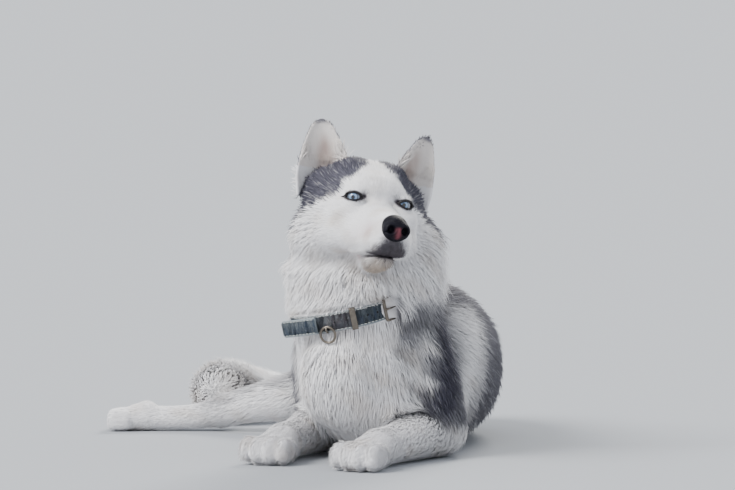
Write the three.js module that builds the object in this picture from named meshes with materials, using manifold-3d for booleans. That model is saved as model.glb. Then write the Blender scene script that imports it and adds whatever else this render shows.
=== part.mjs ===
// Siberian husky lying on its breastbone with the hips rolled onto the left, head up and turned to its left.
// Millimetres, +Z up. The origin is on the floor under the breastbone, between the elbows. The dog faces -Y,
// its own left is +X, and its fore quarters head 30 degrees towards -X.
import * as THREE from 'three';
import { mergeVertices } from 'three/addons/utils/BufferGeometryUtils.js';
import Module from 'manifold-3d';

const wasm = await Module();
wasm.setup();

// Driving dimensions.
const GAP = 0.3; // clearance between neighbouring pieces
const HEAD_GAP = 1.1; // the head's own, wider because its field isn't an exact distance
const FLOOR_DEPTH = 80; // how far the floor block reaches down
const EYE_RADIUS = 11.5;
const EAR_WIDTH = 80;
const EAR_THICK = 5;
const EAR_ROOM = 1.8; // how much wider the room is that each ear keeps to itself
const COLLAR_HEIGHT = 27;
const COLLAR_THICK = 3.2;
const TAU = 2 * Math.PI;

const HEAD_AT = new THREE.Vector3(-27, -95, 357);
const HEAD_TURN = THREE.MathUtils.degToRad(17); // to the dog's left
const HEAD_TILT = THREE.MathUtils.degToRad(9); // crown towards the dog's left

const v = (x, y, z) => new THREE.Vector3(x, y, z);

// The head's own frame: its origin is in the middle of the skull, -Y is forward and +X its left.
const headFrame = new THREE.Matrix4()
  .makeTranslation(HEAD_AT)
  .multiply(new THREE.Matrix4().makeRotationZ(HEAD_TURN))
  .multiply(new THREE.Matrix4().makeRotationY(HEAD_TILT));

// Solids and meshes.

function toSolid(geometry) {
  const bare = new THREE.BufferGeometry().setAttribute('position', geometry.getAttribute('position'));
  if (geometry.index) bare.setIndex(geometry.index);
  const merged = mergeVertices(bare, 1e-4);
  const made = new wasm.Manifold(
    new wasm.Mesh({
      numProp: 3,
      vertProperties: new Float32Array(merged.attributes.position.array),
      triVerts: new Uint32Array(merged.index.array),
    }),
  );
  return made;
}

function toGeometry(solid) {
  const mesh = solid.getMesh();
  const positions = new Float32Array(mesh.numVert * 3);
  for (let i = 0; i < mesh.numVert; i++) {
    positions.set(mesh.vertProperties.subarray(i * mesh.numProp, i * mesh.numProp + 3), i * 3);
  }
  const geometry = new THREE.BufferGeometry();
  geometry.setAttribute('position', new THREE.BufferAttribute(positions, 3));
  geometry.setIndex(new THREE.BufferAttribute(new Uint32Array(mesh.triVerts), 1));
  return geometry;
}

function largestOf(solid) {
  return solid.decompose().sort((a, b) => b.volume() - a.volume())[0];
}

const joined = (...solids) => solids.reduce((all, one) => all.add(one));
const cutBy = (solid, ...tools) => tools.reduce((left, tool) => left.subtract(tool), solid);

// A closed surface from rings of points, with a single point at each end.
function ringGeometry(rings, start, end) {
  const sides = rings[0].length;
  const points = [start, ...rings.flat(), end];
  const faces = [];
  const at = (ring, side) => 1 + ring * sides + (side % sides);
  for (let side = 0; side < sides; side++) {
    faces.push(0, at(0, side + 1), at(0, side));
    for (let ring = 0; ring + 1 < rings.length; ring++) {
      faces.push(at(ring, side), at(ring, side + 1), at(ring + 1, side + 1));
      faces.push(at(ring, side), at(ring + 1, side + 1), at(ring + 1, side));
    }
    faces.push(points.length - 1, at(rings.length - 1, side), at(rings.length - 1, side + 1));
  }
  const geometry = new THREE.BufferGeometry().setFromPoints(points);
  geometry.setIndex(faces);
  return facingOut(geometry);
}

// Turns every face round if the geometry's faces point inwards.
function facingOut(geometry) {
  const index = geometry.index.array;
  const position = geometry.getAttribute('position');
  const corner = [v(), v(), v()];
  let volume = 0;
  for (let i = 0; i < index.length; i += 3) {
    corner.forEach((c, k) => c.fromBufferAttribute(position, index[i + k]));
    volume += corner[0].dot(corner[1].clone().cross(corner[2]));
  }
  if (volume < 0) {
    for (let i = 0; i < index.length; i += 3) [index[i + 1], index[i + 2]] = [index[i + 2], index[i + 1]];
  }
  return geometry;
}

// A tube form: stations [x, y, z, half width, half height] along a limb. `up` says which way its height runs.
class Tube {
  constructor(stations, { up = v(0, 0, 1), sides = 14, rings = 10, square = 2, domes = [1, 1] } = {}) {
    this.path = new THREE.CatmullRomCurve3(stations.map((s) => v(s[0], s[1], s[2])));
    this.sizes = new THREE.CatmullRomCurve3(stations.map((s) => v(s[3], s[4] ?? s[3], 0)));
    Object.assign(this, { up, sides, rings, square, domes });
  }

  // The section's centre, its half sizes and its two directions, at t from 0 to 1.
  section(t) {
    const at = this.path.getPoint(t);
    const along = this.path.getTangent(t);
    const tall = this.up.clone().addScaledVector(along, -this.up.dot(along)).normalize();
    const wide = tall.clone().cross(along).normalize();
    const size = this.sizes.getPoint(t);
    return { at, along, tall, wide, size };
  }

  // A point of the surface at t and an angle a from the wide direction. `dome` from -1 to 1 runs over the ends.
  point(t, a, growth = 0, dome = 0) {
    const { at, along, tall, wide, size } = this.section(t);
    const grow = typeof growth === 'function' ? growth(t) : growth;
    const power = 2 / this.square;
    const c = Math.cos(a);
    const s = Math.sin(a);
    const shrink = Math.cos((dome * Math.PI) / 2);
    const reach = Math.sin((dome * Math.PI) / 2) * (Math.min(size.x, size.y) + grow);
    const domed = dome < 0 ? this.domes[0] : this.domes[1];
    return at
      .clone()
      .addScaledVector(wide, Math.sign(c) * Math.abs(c) ** power * (size.x + grow) * shrink)
      .addScaledVector(tall, Math.sign(s) * Math.abs(s) ** power * (size.y + grow) * shrink)
      .addScaledVector(along, reach * domed);
  }

  solid({ grow = 0, from = 0, to = 1 } = {}) {
    const rings = [];
    const ring = (t, dome) =>
      Array.from({ length: this.sides }, (_, i) => this.point(t, (TAU * i) / this.sides, grow, dome));
    const caps = this.rings > 2 ? [-0.72, -0.4] : [-0.6];
    if (from === 0) caps.forEach((dome) => rings.push(ring(0, dome)));
    for (let i = 0; i <= this.rings; i++) rings.push(ring(from + ((to - from) * i) / this.rings, 0));
    if (to === 1) [...caps].reverse().forEach((dome) => rings.push(ring(1, -dome)));
    const start = from === 0 ? this.point(0, 0, grow, -1) : this.path.getPoint(from);
    const end = to === 1 ? this.point(1, 0, grow, 1) : this.path.getPoint(to);
    return toSolid(ringGeometry(rings, start, end));
  }
}

function ball(at, rx, ry = rx, rz = rx, detail = 12) {
  const geometry = new THREE.SphereGeometry(1, detail, Math.round(detail * 0.6));
  geometry.deleteAttribute('normal');
  geometry.deleteAttribute('uv');
  geometry.scale(rx, ry, rz).translate(at.x, at.y, at.z);
  return toSolid(geometry);
}

const floorBlock = toSolid(new THREE.BoxGeometry(1600, 1600, FLOOR_DEPTH).translate(0, 0, -FLOOR_DEPTH / 2));

// The head as a smooth field, negative inside, in the head's own frame. It is the same on both sides.

function smoothMin(a, b, k) {
  const h = Math.max(k - Math.abs(a - b), 0) / k;
  return Math.min(a, b) - (h * h * k) / 4;
}

function egg(p, at, radii) {
  const d = v((p.x - at[0]) / radii[0], (p.y - at[1]) / radii[1], (p.z - at[2]) / radii[2]);
  const flat = v((p.x - at[0]) / radii[0] ** 2, (p.y - at[1]) / radii[1] ** 2, (p.z - at[2]) / radii[2] ** 2);
  const length = d.length();
  return (length * (length - 1)) / Math.max(flat.length(), 1e-6);
}

function taper(p, from, to, startRadius, endRadius) {
  const a = v(...from);
  const along = v(...to).sub(a);
  const share = THREE.MathUtils.clamp(p.clone().sub(a).dot(along) / along.lengthSq(), 0, 1);
  return p.distanceTo(a.addScaledVector(along, share)) - THREE.MathUtils.lerp(startRadius, endRadius, share);
}

function headField(point) {
  const p = v(Math.abs(point.x), point.y, point.z);
  let d = egg(p, [0, 12, 14], [66, 70, 54]);
  d = smoothMin(d, egg(p, [26, 4, 40], [34, 36, 29]), 12); // crown between the ears
  d = smoothMin(d, egg(p, [58, 20, 16], [33, 40, 36]), 16); // root of the ear
  d = smoothMin(d, egg(p, [0, -36, 20], [42, 34, 28]), 14); // forehead
  d = smoothMin(d, egg(p, [25, -48, 20], [18, 17, 14]), 8); // brow
  d = smoothMin(d, egg(p, [50, 4, -18], [44, 50, 52]), 16); // cheek
  d = smoothMin(d, egg(p, [54, 28, -50], [46, 46, 46]), 18); // ruff
  d = smoothMin(d, egg(p, [40, -38, -14], [27, 34, 26]), 12); // cheekbone
  d = smoothMin(d, taper(p, [0, -62, -28], [0, -130, -37], 37, 26), 12); // muzzle
  d = smoothMin(d, taper(p, [16, -66, -50], [12, -134, -50], 22, 18), 8); // lip pads
  d = smoothMin(d, taper(p, [0, -35, -68], [0, -121, -73], 28, 14), 8); // lower jaw
  d = smoothMin(d, egg(p, [0, 12, -66], [74, 58, 44]), 16); // throat
  return -smoothMin(-d, Math.hypot(p.x - 41, p.y + 80, p.z - 7) - 11, 8); // hollow round the eye
}

// Where a ray from inside the head leaves it.
function leaveHead(from, direction, grow = 0) {
  const step = 2;
  let reach = 0;
  while (reach < 220 && headField(from.clone().addScaledVector(direction, reach)) < grow) reach += step;
  let near = Math.max(reach - step, 0);
  for (let i = 0; i < 12; i++) {
    const middle = (near + reach) / 2;
    if (headField(from.clone().addScaledVector(direction, middle)) < grow) near = middle;
    else reach = middle;
  }
  return from.clone().addScaledVector(direction, reach);
}

const HEAD_AXIS = new THREE.CatmullRomCurve3([v(0, 30, -18), v(0, -20, -14), v(0, -75, -32), v(0, -128, -44)]);
const HEAD_SIDES = 18;
const HEAD_RINGS = 10;
const HEAD_CAPS = 3;

// A point of the head's surface: `turn` from -1 to 1 runs from the back pole over the middle to the front pole.
function headPoint(t, turn, a, grow = 0) {
  const from = HEAD_AXIS.getPoint(t);
  const along = HEAD_AXIS.getTangent(t);
  const up = v(0, 0, 1).addScaledVector(along, -along.z).normalize();
  const side = v(1, 0, 0);
  const tilt = (turn * Math.PI) / 2;
  const ray = side.multiplyScalar(Math.cos(a)).addScaledVector(up, Math.sin(a)).multiplyScalar(Math.cos(tilt));
  return leaveHead(from, ray.addScaledVector(along, Math.sin(tilt)).normalize(), grow);
}

function headSolid(grow = 0) {
  const rings = [];
  const ring = (t, turn) =>
    Array.from({ length: HEAD_SIDES }, (_, i) => headPoint(t, turn, (TAU * (i + 0.5)) / HEAD_SIDES, grow));
  for (let i = 1; i <= HEAD_CAPS; i++) rings.push(ring(0, i / (HEAD_CAPS + 1) - 1));
  for (let i = 0; i <= HEAD_RINGS; i++) rings.push(ring(i / HEAD_RINGS, 0));
  for (let i = 1; i <= HEAD_CAPS; i++) rings.push(ring(1, i / (HEAD_CAPS + 1)));
  return toSolid(ringGeometry(rings, headPoint(0, -1, 0, grow), headPoint(1, 1, 0, grow)));
}

// Body forms. The trunk is one form, parted into chest, barrel and rump.
const trunk = new Tube(
  [
    [-66, -120, 112, 58, 68],
    [-48, -88, 116, 84, 96],
    [-22, -40, 120, 98, 118],
    [6, 15, 124, 104, 130],
    [36, 75, 126, 108, 132],
    [64, 140, 122, 107, 126],
    [84, 210, 114, 100, 116],
    [90, 280, 106, 94, 108],
    [84, 345, 99, 90, 102],
    [62, 405, 94, 85, 96],
    [32, 452, 88, 68, 84],
  ],
  { sides: 16, rings: 4, square: 2.15, domes: [0.75, 0.6] },
);
const TRUNK_CUTS = [0.42, 0.72];

// The breastbone, which carries the body's weight on the floor.
const breastbone = new Tube(
  [
    [-14, -72, 18, 44, 24],
    [4, 0, 14, 52, 26],
    [26, 72, 18, 46, 24],
  ],
  { sides: 12, rings: 3 },
);

const neckForm = new Tube(
  [
    [-28, -20, 130, 88, 92],
    [-34, -45, 180, 96, 92],
    [-40, -64, 222, 98, 88],
    [-28, -62, 262, 119, 94],
    [-24, -52, 308, 114, 90],
    [-26, -42, 342, 84, 64],
  ],
  { up: v(0, -1, 0), sides: 14, rings: 7 },
);

const limbOptions = { sides: 10, rings: 4 };
const shoulderOptions = { up: v(0, -1, 0), sides: 12, rings: 5 };
const upperArm = {
  left: new Tube([[34, -30, 205, 38, 50], [46, -46, 150, 50, 60], [64, -50, 92, 48, 54], [80, -42, 44, 36, 40]], shoulderOptions),
  right: new Tube([[-78, 22, 205, 38, 50], [-86, 14, 150, 48, 58], [-88, 24, 92, 46, 52], [-84, 44, 44, 36, 40]], shoulderOptions),
};
const foreArm = {
  left: new Tube([[80, -44, 36, 36, 36], [48, -94, 35, 33, 34], [16, -146, 30, 27, 28], [-8, -186, 27, 25, 26]], limbOptions),
  right: new Tube([[-84, 44, 36, 36, 36], [-106, -10, 35, 33, 34], [-126, -60, 30, 27, 28], [-143, -102, 27, 25, 26]], limbOptions),
};
const thigh = {
  right: new Tube([[62, 372, 118, 74, 68], [8, 335, 104, 72, 60], [-52, 298, 84, 58, 50], [-100, 276, 68, 46, 44]], {
    sides: 12,
    rings: 5,
  }),
  left: new Tube([[70, 330, 56, 60, 56], [28, 262, 52, 60, 50], [-12, 200, 46, 50, 44], [-34, 172, 44, 42, 40]], {
    sides: 12,
    rings: 4,
  }),
};
const shank = {
  right: new Tube([[-102, 274, 66, 44, 44], [-148, 292, 58, 38, 40], [-205, 318, 46, 28, 30], [-258, 338, 32, 21, 26]], limbOptions),
  left: new Tube([[-34, 176, 44, 40, 38], [-36, 224, 38, 36, 34], [-30, 284, 32, 27, 28], [-22, 334, 27, 21, 24]], limbOptions),
};
const hindFoot = {
  right: new Tube([[-258, 339, 30, 21, 24], [-312, 344, 22, 19, 20], [-362, 349, 20, 22, 19], [-392, 352, 20, 27, 19]], limbOptions),
  left: new Tube([[-22, 332, 27, 21, 22], [-52, 296, 21, 19, 19], [-78, 262, 20, 22, 18], [-94, 242, 20, 26, 18]], limbOptions),
};
const tailForm = new Tube(
  [
    [8, 462, 88, 30, 30],
    [-58, 510, 54, 35, 33],
    [-136, 538, 38, 40, 34],
    [-208, 534, 46, 46, 42],
    [-256, 494, 54, 54, 53],
    [-266, 440, 56, 52, 50],
  ],
  { sides: 12, rings: 6, domes: [0.6, 0.75] },
);
const TAIL_CUT = 0.55;

// Paws: a pad with four toes that fan out.
const TOES = 4;
const TOE_RADIUS = 9;

function paw(wrist, heading, { length, width, height }, grow = 0) {
  const forward = v(Math.cos(heading), Math.sin(heading), 0);
  const side = v(-forward.y, forward.x, 0);
  const place = (ahead, across, z) => wrist.clone().setZ(z).addScaledVector(forward, ahead).addScaledVector(side, across);
  const station = (ahead, across, z, ...sizes) => [...place(ahead, across, z).toArray(), ...sizes];
  const back = new Tube(
    [
      station(0, 0, 0.62 * height, 0.42 * width, 0.6 * height),
      station(0.3 * length, 0, 0.52 * height, 0.46 * width, 0.55 * height),
      station(0.62 * length, 0, 0.4 * height, 0.42 * width, 0.44 * height),
    ],
    { sides: 8, rings: 1 },
  ).solid({ grow });
  const toes = Array.from({ length: TOES }, (_, i) => {
    const across = ((i - (TOES - 1) / 2) / TOES) * width;
    const middle = 1 - Math.abs(i - (TOES - 1) / 2) / TOES;
    return new Tube(
      [
        station(0.42 * length, across * 1.2, 0.5 * height, TOE_RADIUS, 0.42 * height),
        station((0.6 + 0.14 * middle) * length, across * 1.24, 0.46 * height, TOE_RADIUS, 0.45 * height),
        station((0.68 + 0.22 * middle) * length, across * 1.26, 0.34 * height, TOE_RADIUS, 0.34 * height),
      ],
      { sides: 6, rings: 1, domes: [0.5, 1] },
    ).solid({ grow });
  });
  return joined(back, ...toes);
}

const headingOf = (from, to) => Math.atan2(to[1] - from[1], to[0] - from[0]);
const pawSizes = { fore: { length: 76, width: 58, height: 43 }, hind: { length: 60, width: 54, height: 38 } };
const paws = {
  fore_left: (grow) => paw(v(-10, -188, 0), headingOf([80, -44], [-58, -276]), pawSizes.fore, grow),
  fore_right: (grow) => paw(v(-144, -104, 0), headingOf([-84, 44], [-186, -206]), pawSizes.fore, grow),
  hind_right: (grow) => paw(v(-378, 351, 0), headingOf([-262, 340], [-430, 356]), pawSizes.hind, grow),
  hind_left: (grow) => paw(v(-84, 250, 0), headingOf([-22, 332], [-110, 222]), pawSizes.hind, grow),
};

// The head, in its own frame: lips, lids, sockets and the line of the mouth.
const EYE = v(35.5, -55, 8);
const EYE_AXIS = v(0.42, -0.9, 0.1).normalize();
const NOSE = v(0, -152, -32);
const mirrored = (p, side) => v(p.x * side, p.y, p.z);
const SIDES = { left: 1, right: -1 };

const mouthHeight = (y) => -68 - 0.05 * (y + 142);
function mouthLine(rise = 0, inset = 0) {
  const back = -56;
  const front = -142;
  const steps = 6;
  const half = Array.from({ length: steps }, (_, i) => {
    const y = THREE.MathUtils.lerp(back, front, i / steps);
    const from = v(0, y, mouthHeight(y) + rise);
    return leaveHead(from, v(1, 0, 0), -inset);
  });
  const middle = leaveHead(v(0, -110, mouthHeight(front) + rise), v(0, -1, 0), -inset);
  return [...half, middle, ...[...half].reverse().map((p) => mirrored(p, -1))];
}

function mouthTube(rise, radius, inset) {
  return new Tube(
    mouthLine(rise, inset).map((p) => [...p.toArray(), radius]),
    { sides: 4, rings: 9 },
  ).solid();
}

function eyeOpening(side) {
  const opening = ball(v(0, 0, 0), 11.5, 26, 6.6, 10);
  const turn = new THREE.Quaternion().setFromUnitVectors(v(0, -1, 0), mirrored(EYE_AXIS, side));
  const lift = THREE.MathUtils.degToRad(6 * -side);
  const matrix = new THREE.Matrix4().compose(mirrored(EYE, side), turn, v(1, 1, 1));
  return opening.transform(matrix.multiply(new THREE.Matrix4().makeRotationY(lift)).toArray());
}

function headInOwnFrame() {
  let head = headSolid();
  head = joined(head, mouthTube(4.4, 3.6, 2.4), mouthTube(-4.4, 3.2, 2.4));
  head = cutBy(head, mouthTube(0, 1.6, 0.6));
  for (const side of Object.values(SIDES)) {
    head = head.add(ball(mirrored(EYE, side), EYE_RADIUS + 2.4, EYE_RADIUS + 2.4, EYE_RADIUS + 2.4, 11));
    head = head.subtract(eyeOpening(side));
    head = head.subtract(ball(mirrored(EYE, side), EYE_RADIUS + GAP, EYE_RADIUS + GAP, EYE_RADIUS + GAP, 10));
  }
  return largestOf(head);
}

function noseInOwnFrame(grow = 0) {
  let nose = ball(NOSE, 19 + grow, 15 + grow, 15.5 + grow, 11);
  nose = nose.add(ball(NOSE.clone().add(v(0, 10, 5)), 15 + grow, 16 + grow, 13 + grow, 7));
  if (grow > 0) return nose;
  for (const side of Object.values(SIDES)) {
    nose = nose.subtract(ball(NOSE.clone().add(v(9 * side, -12, 0)), 4.4, 8, 5.2, 6));
    nose = nose.subtract(ball(NOSE.clone().add(v(15 * side, -7, -5)), 6, 6, 2, 6));
  }
  return nose.subtract(ball(NOSE.clone().add(v(0, -15, -9)), 1.2, 4, 9, 6));
}

// An ear: a cupped triangle with a rounded tip, whose section is an arc open to the front.
const EAR_ROOT = v(64, 14, 34);
const EAR_TIP = v(79, 18, 113);
const EAR_SPREAD = v(0.8, 0.28, -0.5).normalize(); // from the inner edge to the outer edge at the root
const EAR_TIP_ROUND = 0.17; // the share of the height that the rounded tip takes

function earHalfWidth(u) {
  const straight = (EAR_WIDTH / 2) * (1 - 0.74 * u ** 1.45);
  const round = u < 1 - EAR_TIP_ROUND ? 1 : Math.sqrt(1 - ((u - 1 + EAR_TIP_ROUND) / EAR_TIP_ROUND) ** 2);
  return straight * round;
}

function earInOwnFrame(side, grow = 0) {
  const steps = 6;
  const across = 6;
  const rise = EAR_TIP.clone().sub(EAR_ROOT);
  const total = rise.length();
  rise.normalize();
  const outward = EAR_SPREAD.clone().addScaledVector(rise, -EAR_SPREAD.dot(rise)).normalize();
  const back = rise.clone().cross(outward).normalize();
  if (back.y < 0) back.negate();
  const place = (u, w, depth) => {
    const bend = THREE.MathUtils.lerp(1.15, 0.55, u);
    const radius = (earHalfWidth(u) + grow) / Math.sin(bend);
    return EAR_ROOT.clone()
      .addScaledVector(rise, u * total)
      .addScaledVector(outward, Math.sin(w * bend) * (radius - depth))
      .addScaledVector(back, (Math.cos(w * bend) - Math.cos(bend)) * radius - Math.cos(w * bend) * depth - grow);
  };
  const rings = [];
  for (let i = 0; i <= steps; i++) {
    const u = i === 0 ? 0 : (i / steps) ** 0.8 * 0.985;
    const thick = THREE.MathUtils.lerp(EAR_THICK, 0.45 * EAR_THICK, u);
    const outer = Array.from({ length: across + 1 }, (_, k) => place(u, -1 + (2 * k) / across, -grow));
    const inner = Array.from({ length: across - 1 }, (_, k) => place(u, 1 - (2 * (k + 1)) / across, thick + 2 * grow));
    rings.push([...outer, ...inner].map((p) => (i === 0 ? p.addScaledVector(rise, -0.3 * total - 2 * grow) : p)));
  }
  const middle = (ring) => ring.reduce((sum, p) => sum.add(p), v(0, 0, 0)).divideScalar(ring.length);
  const top = middle(rings[steps]).addScaledVector(rise, 1 + grow);
  const mirrorRing = (ring) => ring.map((p) => mirrored(p, side));
  return toSolid(ringGeometry(rings.map(mirrorRing), mirrored(middle(rings[0]), side), mirrored(top, side)));
}

// The collar: a flat strap round the neck in a leaning oval.
const COLLAR_AT = v(-54, -78, 210);
const COLLAR_HALF = [79, 76]; // across and front to back, at the middle of the strap
const collarFrame = new THREE.Matrix4()
  .makeTranslation(COLLAR_AT)
  .multiply(new THREE.Matrix4().makeRotationX(THREE.MathUtils.degToRad(7)))
  .multiply(new THREE.Matrix4().makeRotationY(THREE.MathUtils.degToRad(-12)));

function strapSection(a, out, half) {
  const radius = v(COLLAR_HALF[0] * Math.cos(a), COLLAR_HALF[1] * Math.sin(a), 0);
  const normal = v(Math.cos(a) / COLLAR_HALF[0], Math.sin(a) / COLLAR_HALF[1], 0).normalize();
  return radius.addScaledVector(normal, out).setZ(half);
}

// A closed hoop with a four-cornered section.
function hoop(inner, outer, half, reach = (a, out) => out) {
  const corners = [[inner, -half], [outer, -half], [outer, half], [inner, half]];
  const points = [];
  const faces = [];
  const steps = 28;
  for (let i = 0; i < steps; i++) {
    const a = (TAU * i) / steps;
    corners.forEach(([out, z]) => points.push(strapSection(a, out > 0 ? reach(a, out) : out, z)));
    for (let k = 0; k < 4; k++) {
      const at = (ring, corner) => (ring % steps) * 4 + (corner % 4);
      faces.push(at(i, k), at(i, k + 1), at(i + 1, k + 1), at(i, k), at(i + 1, k + 1), at(i + 1, k));
    }
  }
  const geometry = new THREE.BufferGeometry().setFromPoints(points);
  geometry.setIndex(faces);
  return toSolid(facingOut(geometry)).transform(collarFrame.toArray());
}

const strap = hoop(-COLLAR_THICK / 2, COLLAR_THICK / 2, COLLAR_HEIGHT / 2);
const FITTING_HEIGHT = COLLAR_HEIGHT + 8;
const COLLAR_FRONT = THREE.MathUtils.degToRad(-105); // the middle of the part that the coat leaves in sight
const inSight = (a, out) => {
  const share = THREE.MathUtils.smoothstep(Math.cos(a - COLLAR_FRONT), 0.1, 0.4);
  return THREE.MathUtils.lerp(COLLAR_THICK / 2 + GAP, out, share);
};
const strapRoom = hoop(-COLLAR_THICK / 2 - GAP, 60, COLLAR_HEIGHT / 2 + GAP, inSight);
const fittingRoom = hoop(COLLAR_THICK / 2, 60, FITTING_HEIGHT / 2, inSight);

// Collar fittings, each placed by its angle round the collar, and standing on the strap's outer face.
function onCollar(geometry, a, out) {
  const at = strapSection(a, out, 0);
  const normal = v(Math.cos(a) / COLLAR_HALF[0], Math.sin(a) / COLLAR_HALF[1], 0).normalize();
  const along = v(-normal.y, normal.x, 0);
  const frame = new THREE.Matrix4().makeBasis(along, normal, v(0, 0, 1)).setPosition(at);
  for (const name of ['normal', 'uv']) geometry.deleteAttribute(name);
  return toSolid(geometry).transform(collarFrame.clone().multiply(frame).toArray());
}

function frameGeometry(width, height, bar, thick) {
  const shape = new THREE.Shape();
  shape.moveTo(-width / 2, -height / 2).lineTo(width / 2, -height / 2);
  shape.lineTo(width / 2, height / 2).lineTo(-width / 2, height / 2).closePath();
  const hole = new THREE.Path();
  hole.moveTo(-width / 2 + bar, -height / 2 + bar).lineTo(-width / 2 + bar, height / 2 - bar);
  hole.lineTo(width / 2 - bar, height / 2 - bar).lineTo(width / 2 - bar, -height / 2 + bar).closePath();
  shape.holes.push(hole);
  const geometry = new THREE.ExtrudeGeometry(shape, { depth: thick, bevelEnabled: false });
  return geometry.rotateX(Math.PI / 2);
}

const FACE = COLLAR_THICK / 2 + GAP;
const END_STRAP = 3;
const degrees = THREE.MathUtils.degToRad;
const TIP_ANGLE = degrees(-121);
const KEEPER_ANGLE = degrees(-83);
const BUCKLE_ANGLE = degrees(-40);
const RING_ANGLE = degrees(-111);

// Material and node table.
const material = (color, roughness, metalness = 0) => new THREE.MeshStandardMaterial({ color, roughness, metalness });
const coat = { white: material('#e9e6e2', 0.9), grey: material('#83858d', 0.9) };
const leather = material('#46525c', 0.7);
const metal = material('#9a938a', 0.35, 0.9);
const dog = new THREE.Group();

// Pieces are placed in order, and each is cut clear of the rooms of those placed before it.
const rooms = [];

function place(name, solid, room, look) {
  const clear = largestOf(cutBy(solid, floorBlock, ...rooms));
  const mesh = new THREE.Mesh(toGeometry(clear), look);
  mesh.name = name;
  dog.add(mesh);
  if (room) rooms.push(room);
}

const toWorld = (solid) => solid.transform(headFrame.toArray());
const withRoom = (make) => [make(0), make(2 * GAP)];

// Fittings of the collar.
const tipLift = 6;
const tip = (grow) =>
  onCollar(new THREE.BoxGeometry(54 + grow, END_STRAP + grow, 24 + grow).translate(-26, 0, 0), TIP_ANGLE, FACE + tipLift);
const keeper = onCollar(frameGeometry(9, COLLAR_HEIGHT + 4, 1.8, 2.4).translate(0, 2.4, 0), KEEPER_ANGLE, FACE);
const buckle = onCollar(frameGeometry(26, COLLAR_HEIGHT + 7, 4, 3).translate(0, 3, 0), BUCKLE_ANGLE, FACE);
const torus = new THREE.TorusGeometry(11, 1.9, 5, 14).translate(0, -COLLAR_HEIGHT / 2 - 2, 0);
const ring = onCollar(torus.rotateX(Math.PI / 2).translate(0, 2, 0), RING_ANGLE, FACE);
const ringRoom = onCollar(new THREE.BoxGeometry(30, 12, 30).translate(0, 2, -COLLAR_HEIGHT / 2 - 2), RING_ANGLE, FACE);
place('collar_tip', tip(0), null, leather);
place('collar_keeper', keeper, null, metal);
place('collar_buckle', buckle, null, metal);
place('d_ring', ring, null, metal);
place('collar', strap, strapRoom.add(fittingRoom).add(ringRoom).add(tip(2 * GAP)), leather);

// Head.
for (const [side, sign] of Object.entries(SIDES)) {
  const eye = (grow) => toWorld(ball(mirrored(EYE, sign), EYE_RADIUS + grow, EYE_RADIUS + grow, EYE_RADIUS + grow, 10));
  place('eye_' + side, ...withRoom(eye), material('#a9c4de', 0.1));
}
place('nose', toWorld(noseInOwnFrame()), toWorld(noseInOwnFrame(GAP)), material('#2a2427', 0.4));
// The coat's depth beyond the core of each form. The core reaches half way from the flesh to the tips.
const COLLAR_SHARE = 0.36; // where the collar sits along the neck
const DEPTHS = {
  trunk: -14,
  neck: (t) => -16 + 13 * Math.exp(-(((t - COLLAR_SHARE) / 0.1) ** 2)),
  tail: -20,
  thigh: -8,
  limb: 0,
};
const grown = (depth, grow) => (typeof depth === 'function' ? (t) => depth(t) + grow : depth + grow);

// What each node of flesh is made from: its form's stretch, and the depth of its coat.
const trunkHalf = GAP / 2 / trunk.path.getLength();
const tailHalf = GAP / 2 / tailForm.path.getLength();
const pieces = [];
for (const side of ['left', 'right']) {
  pieces.push({ name: 'upper_arm_' + side, form: upperArm[side], depth: DEPTHS.limb, look: coat.grey });
  pieces.push({ name: 'forearm_' + side, form: foreArm[side], depth: DEPTHS.limb, look: coat.white });
  pieces.push({ name: 'forepaw_' + side, make: paws['fore_' + side], look: coat.white });
}
for (const side of ['left', 'right']) {
  pieces.push({ name: 'shank_' + side, form: shank[side], depth: DEPTHS.limb, look: coat.white });
  pieces.push({ name: 'hind_foot_' + side, form: hindFoot[side], depth: DEPTHS.limb, look: coat.white });
  pieces.push({ name: 'hind_paw_' + side, make: paws['hind_' + side], look: coat.white });
  pieces.push({ name: 'thigh_' + side, form: thigh[side], depth: DEPTHS.thigh, look: coat.grey });
}
const trunkEnds = [0, ...TRUNK_CUTS, 1];
['chest', 'barrel', 'rump'].forEach((name, i) => {
  const stretch = { from: trunkEnds[i], to: trunkEnds[i + 1], half: trunkHalf };
  const below = name === 'chest' ? breastbone : null;
  pieces.push({ name, form: trunk, below, depth: DEPTHS.trunk, ...stretch, look: coat.grey });
});
pieces.push({ name: 'neck', form: neckForm, depth: DEPTHS.neck, look: coat.white });
pieces.push({ name: 'tail_end', form: tailForm, depth: DEPTHS.tail, from: TAIL_CUT, to: 1, half: tailHalf, look: coat.white });
pieces.push({ name: 'tail_base', form: tailForm, depth: DEPTHS.tail, from: 0, to: TAIL_CUT, half: tailHalf, look: coat.grey });

// A node's core. Its room reaches a gap past each parting.
function coreSolid({ form, make, below, depth, from = 0, to = 1, half = 0 }, grow = 0) {
  if (make) return make(grow);
  const short = grow > 0 ? -half : half;
  const core = form.solid({
    grow: grown(depth, grow),
    from: from > 0 ? from + short : 0,
    to: to < 1 ? to - short : 1,
  });
  return below ? core.add(below.solid({ grow })) : core;
}

// The whole body under the coat, as one surface that the locks follow.
const body = new THREE.Mesh(
  toGeometry(joined(toWorld(headSolid()), ...pieces.map((piece) => coreSolid(piece)))),
  new THREE.MeshBasicMaterial({ side: THREE.DoubleSide }),
);
const probe = new THREE.Raycaster();
const PROBE_REACH = 50;

function surfaceUnder(point, out) {
  probe.set(point.clone().addScaledVector(out, PROBE_REACH), out.clone().negate());
  const hit = probe.intersectObject(body)[0];
  if (!hit || hit.distance > 2 * PROBE_REACH) return null;
  return { at: hit.point, out: hit.face.normal.clone() };
}

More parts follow.
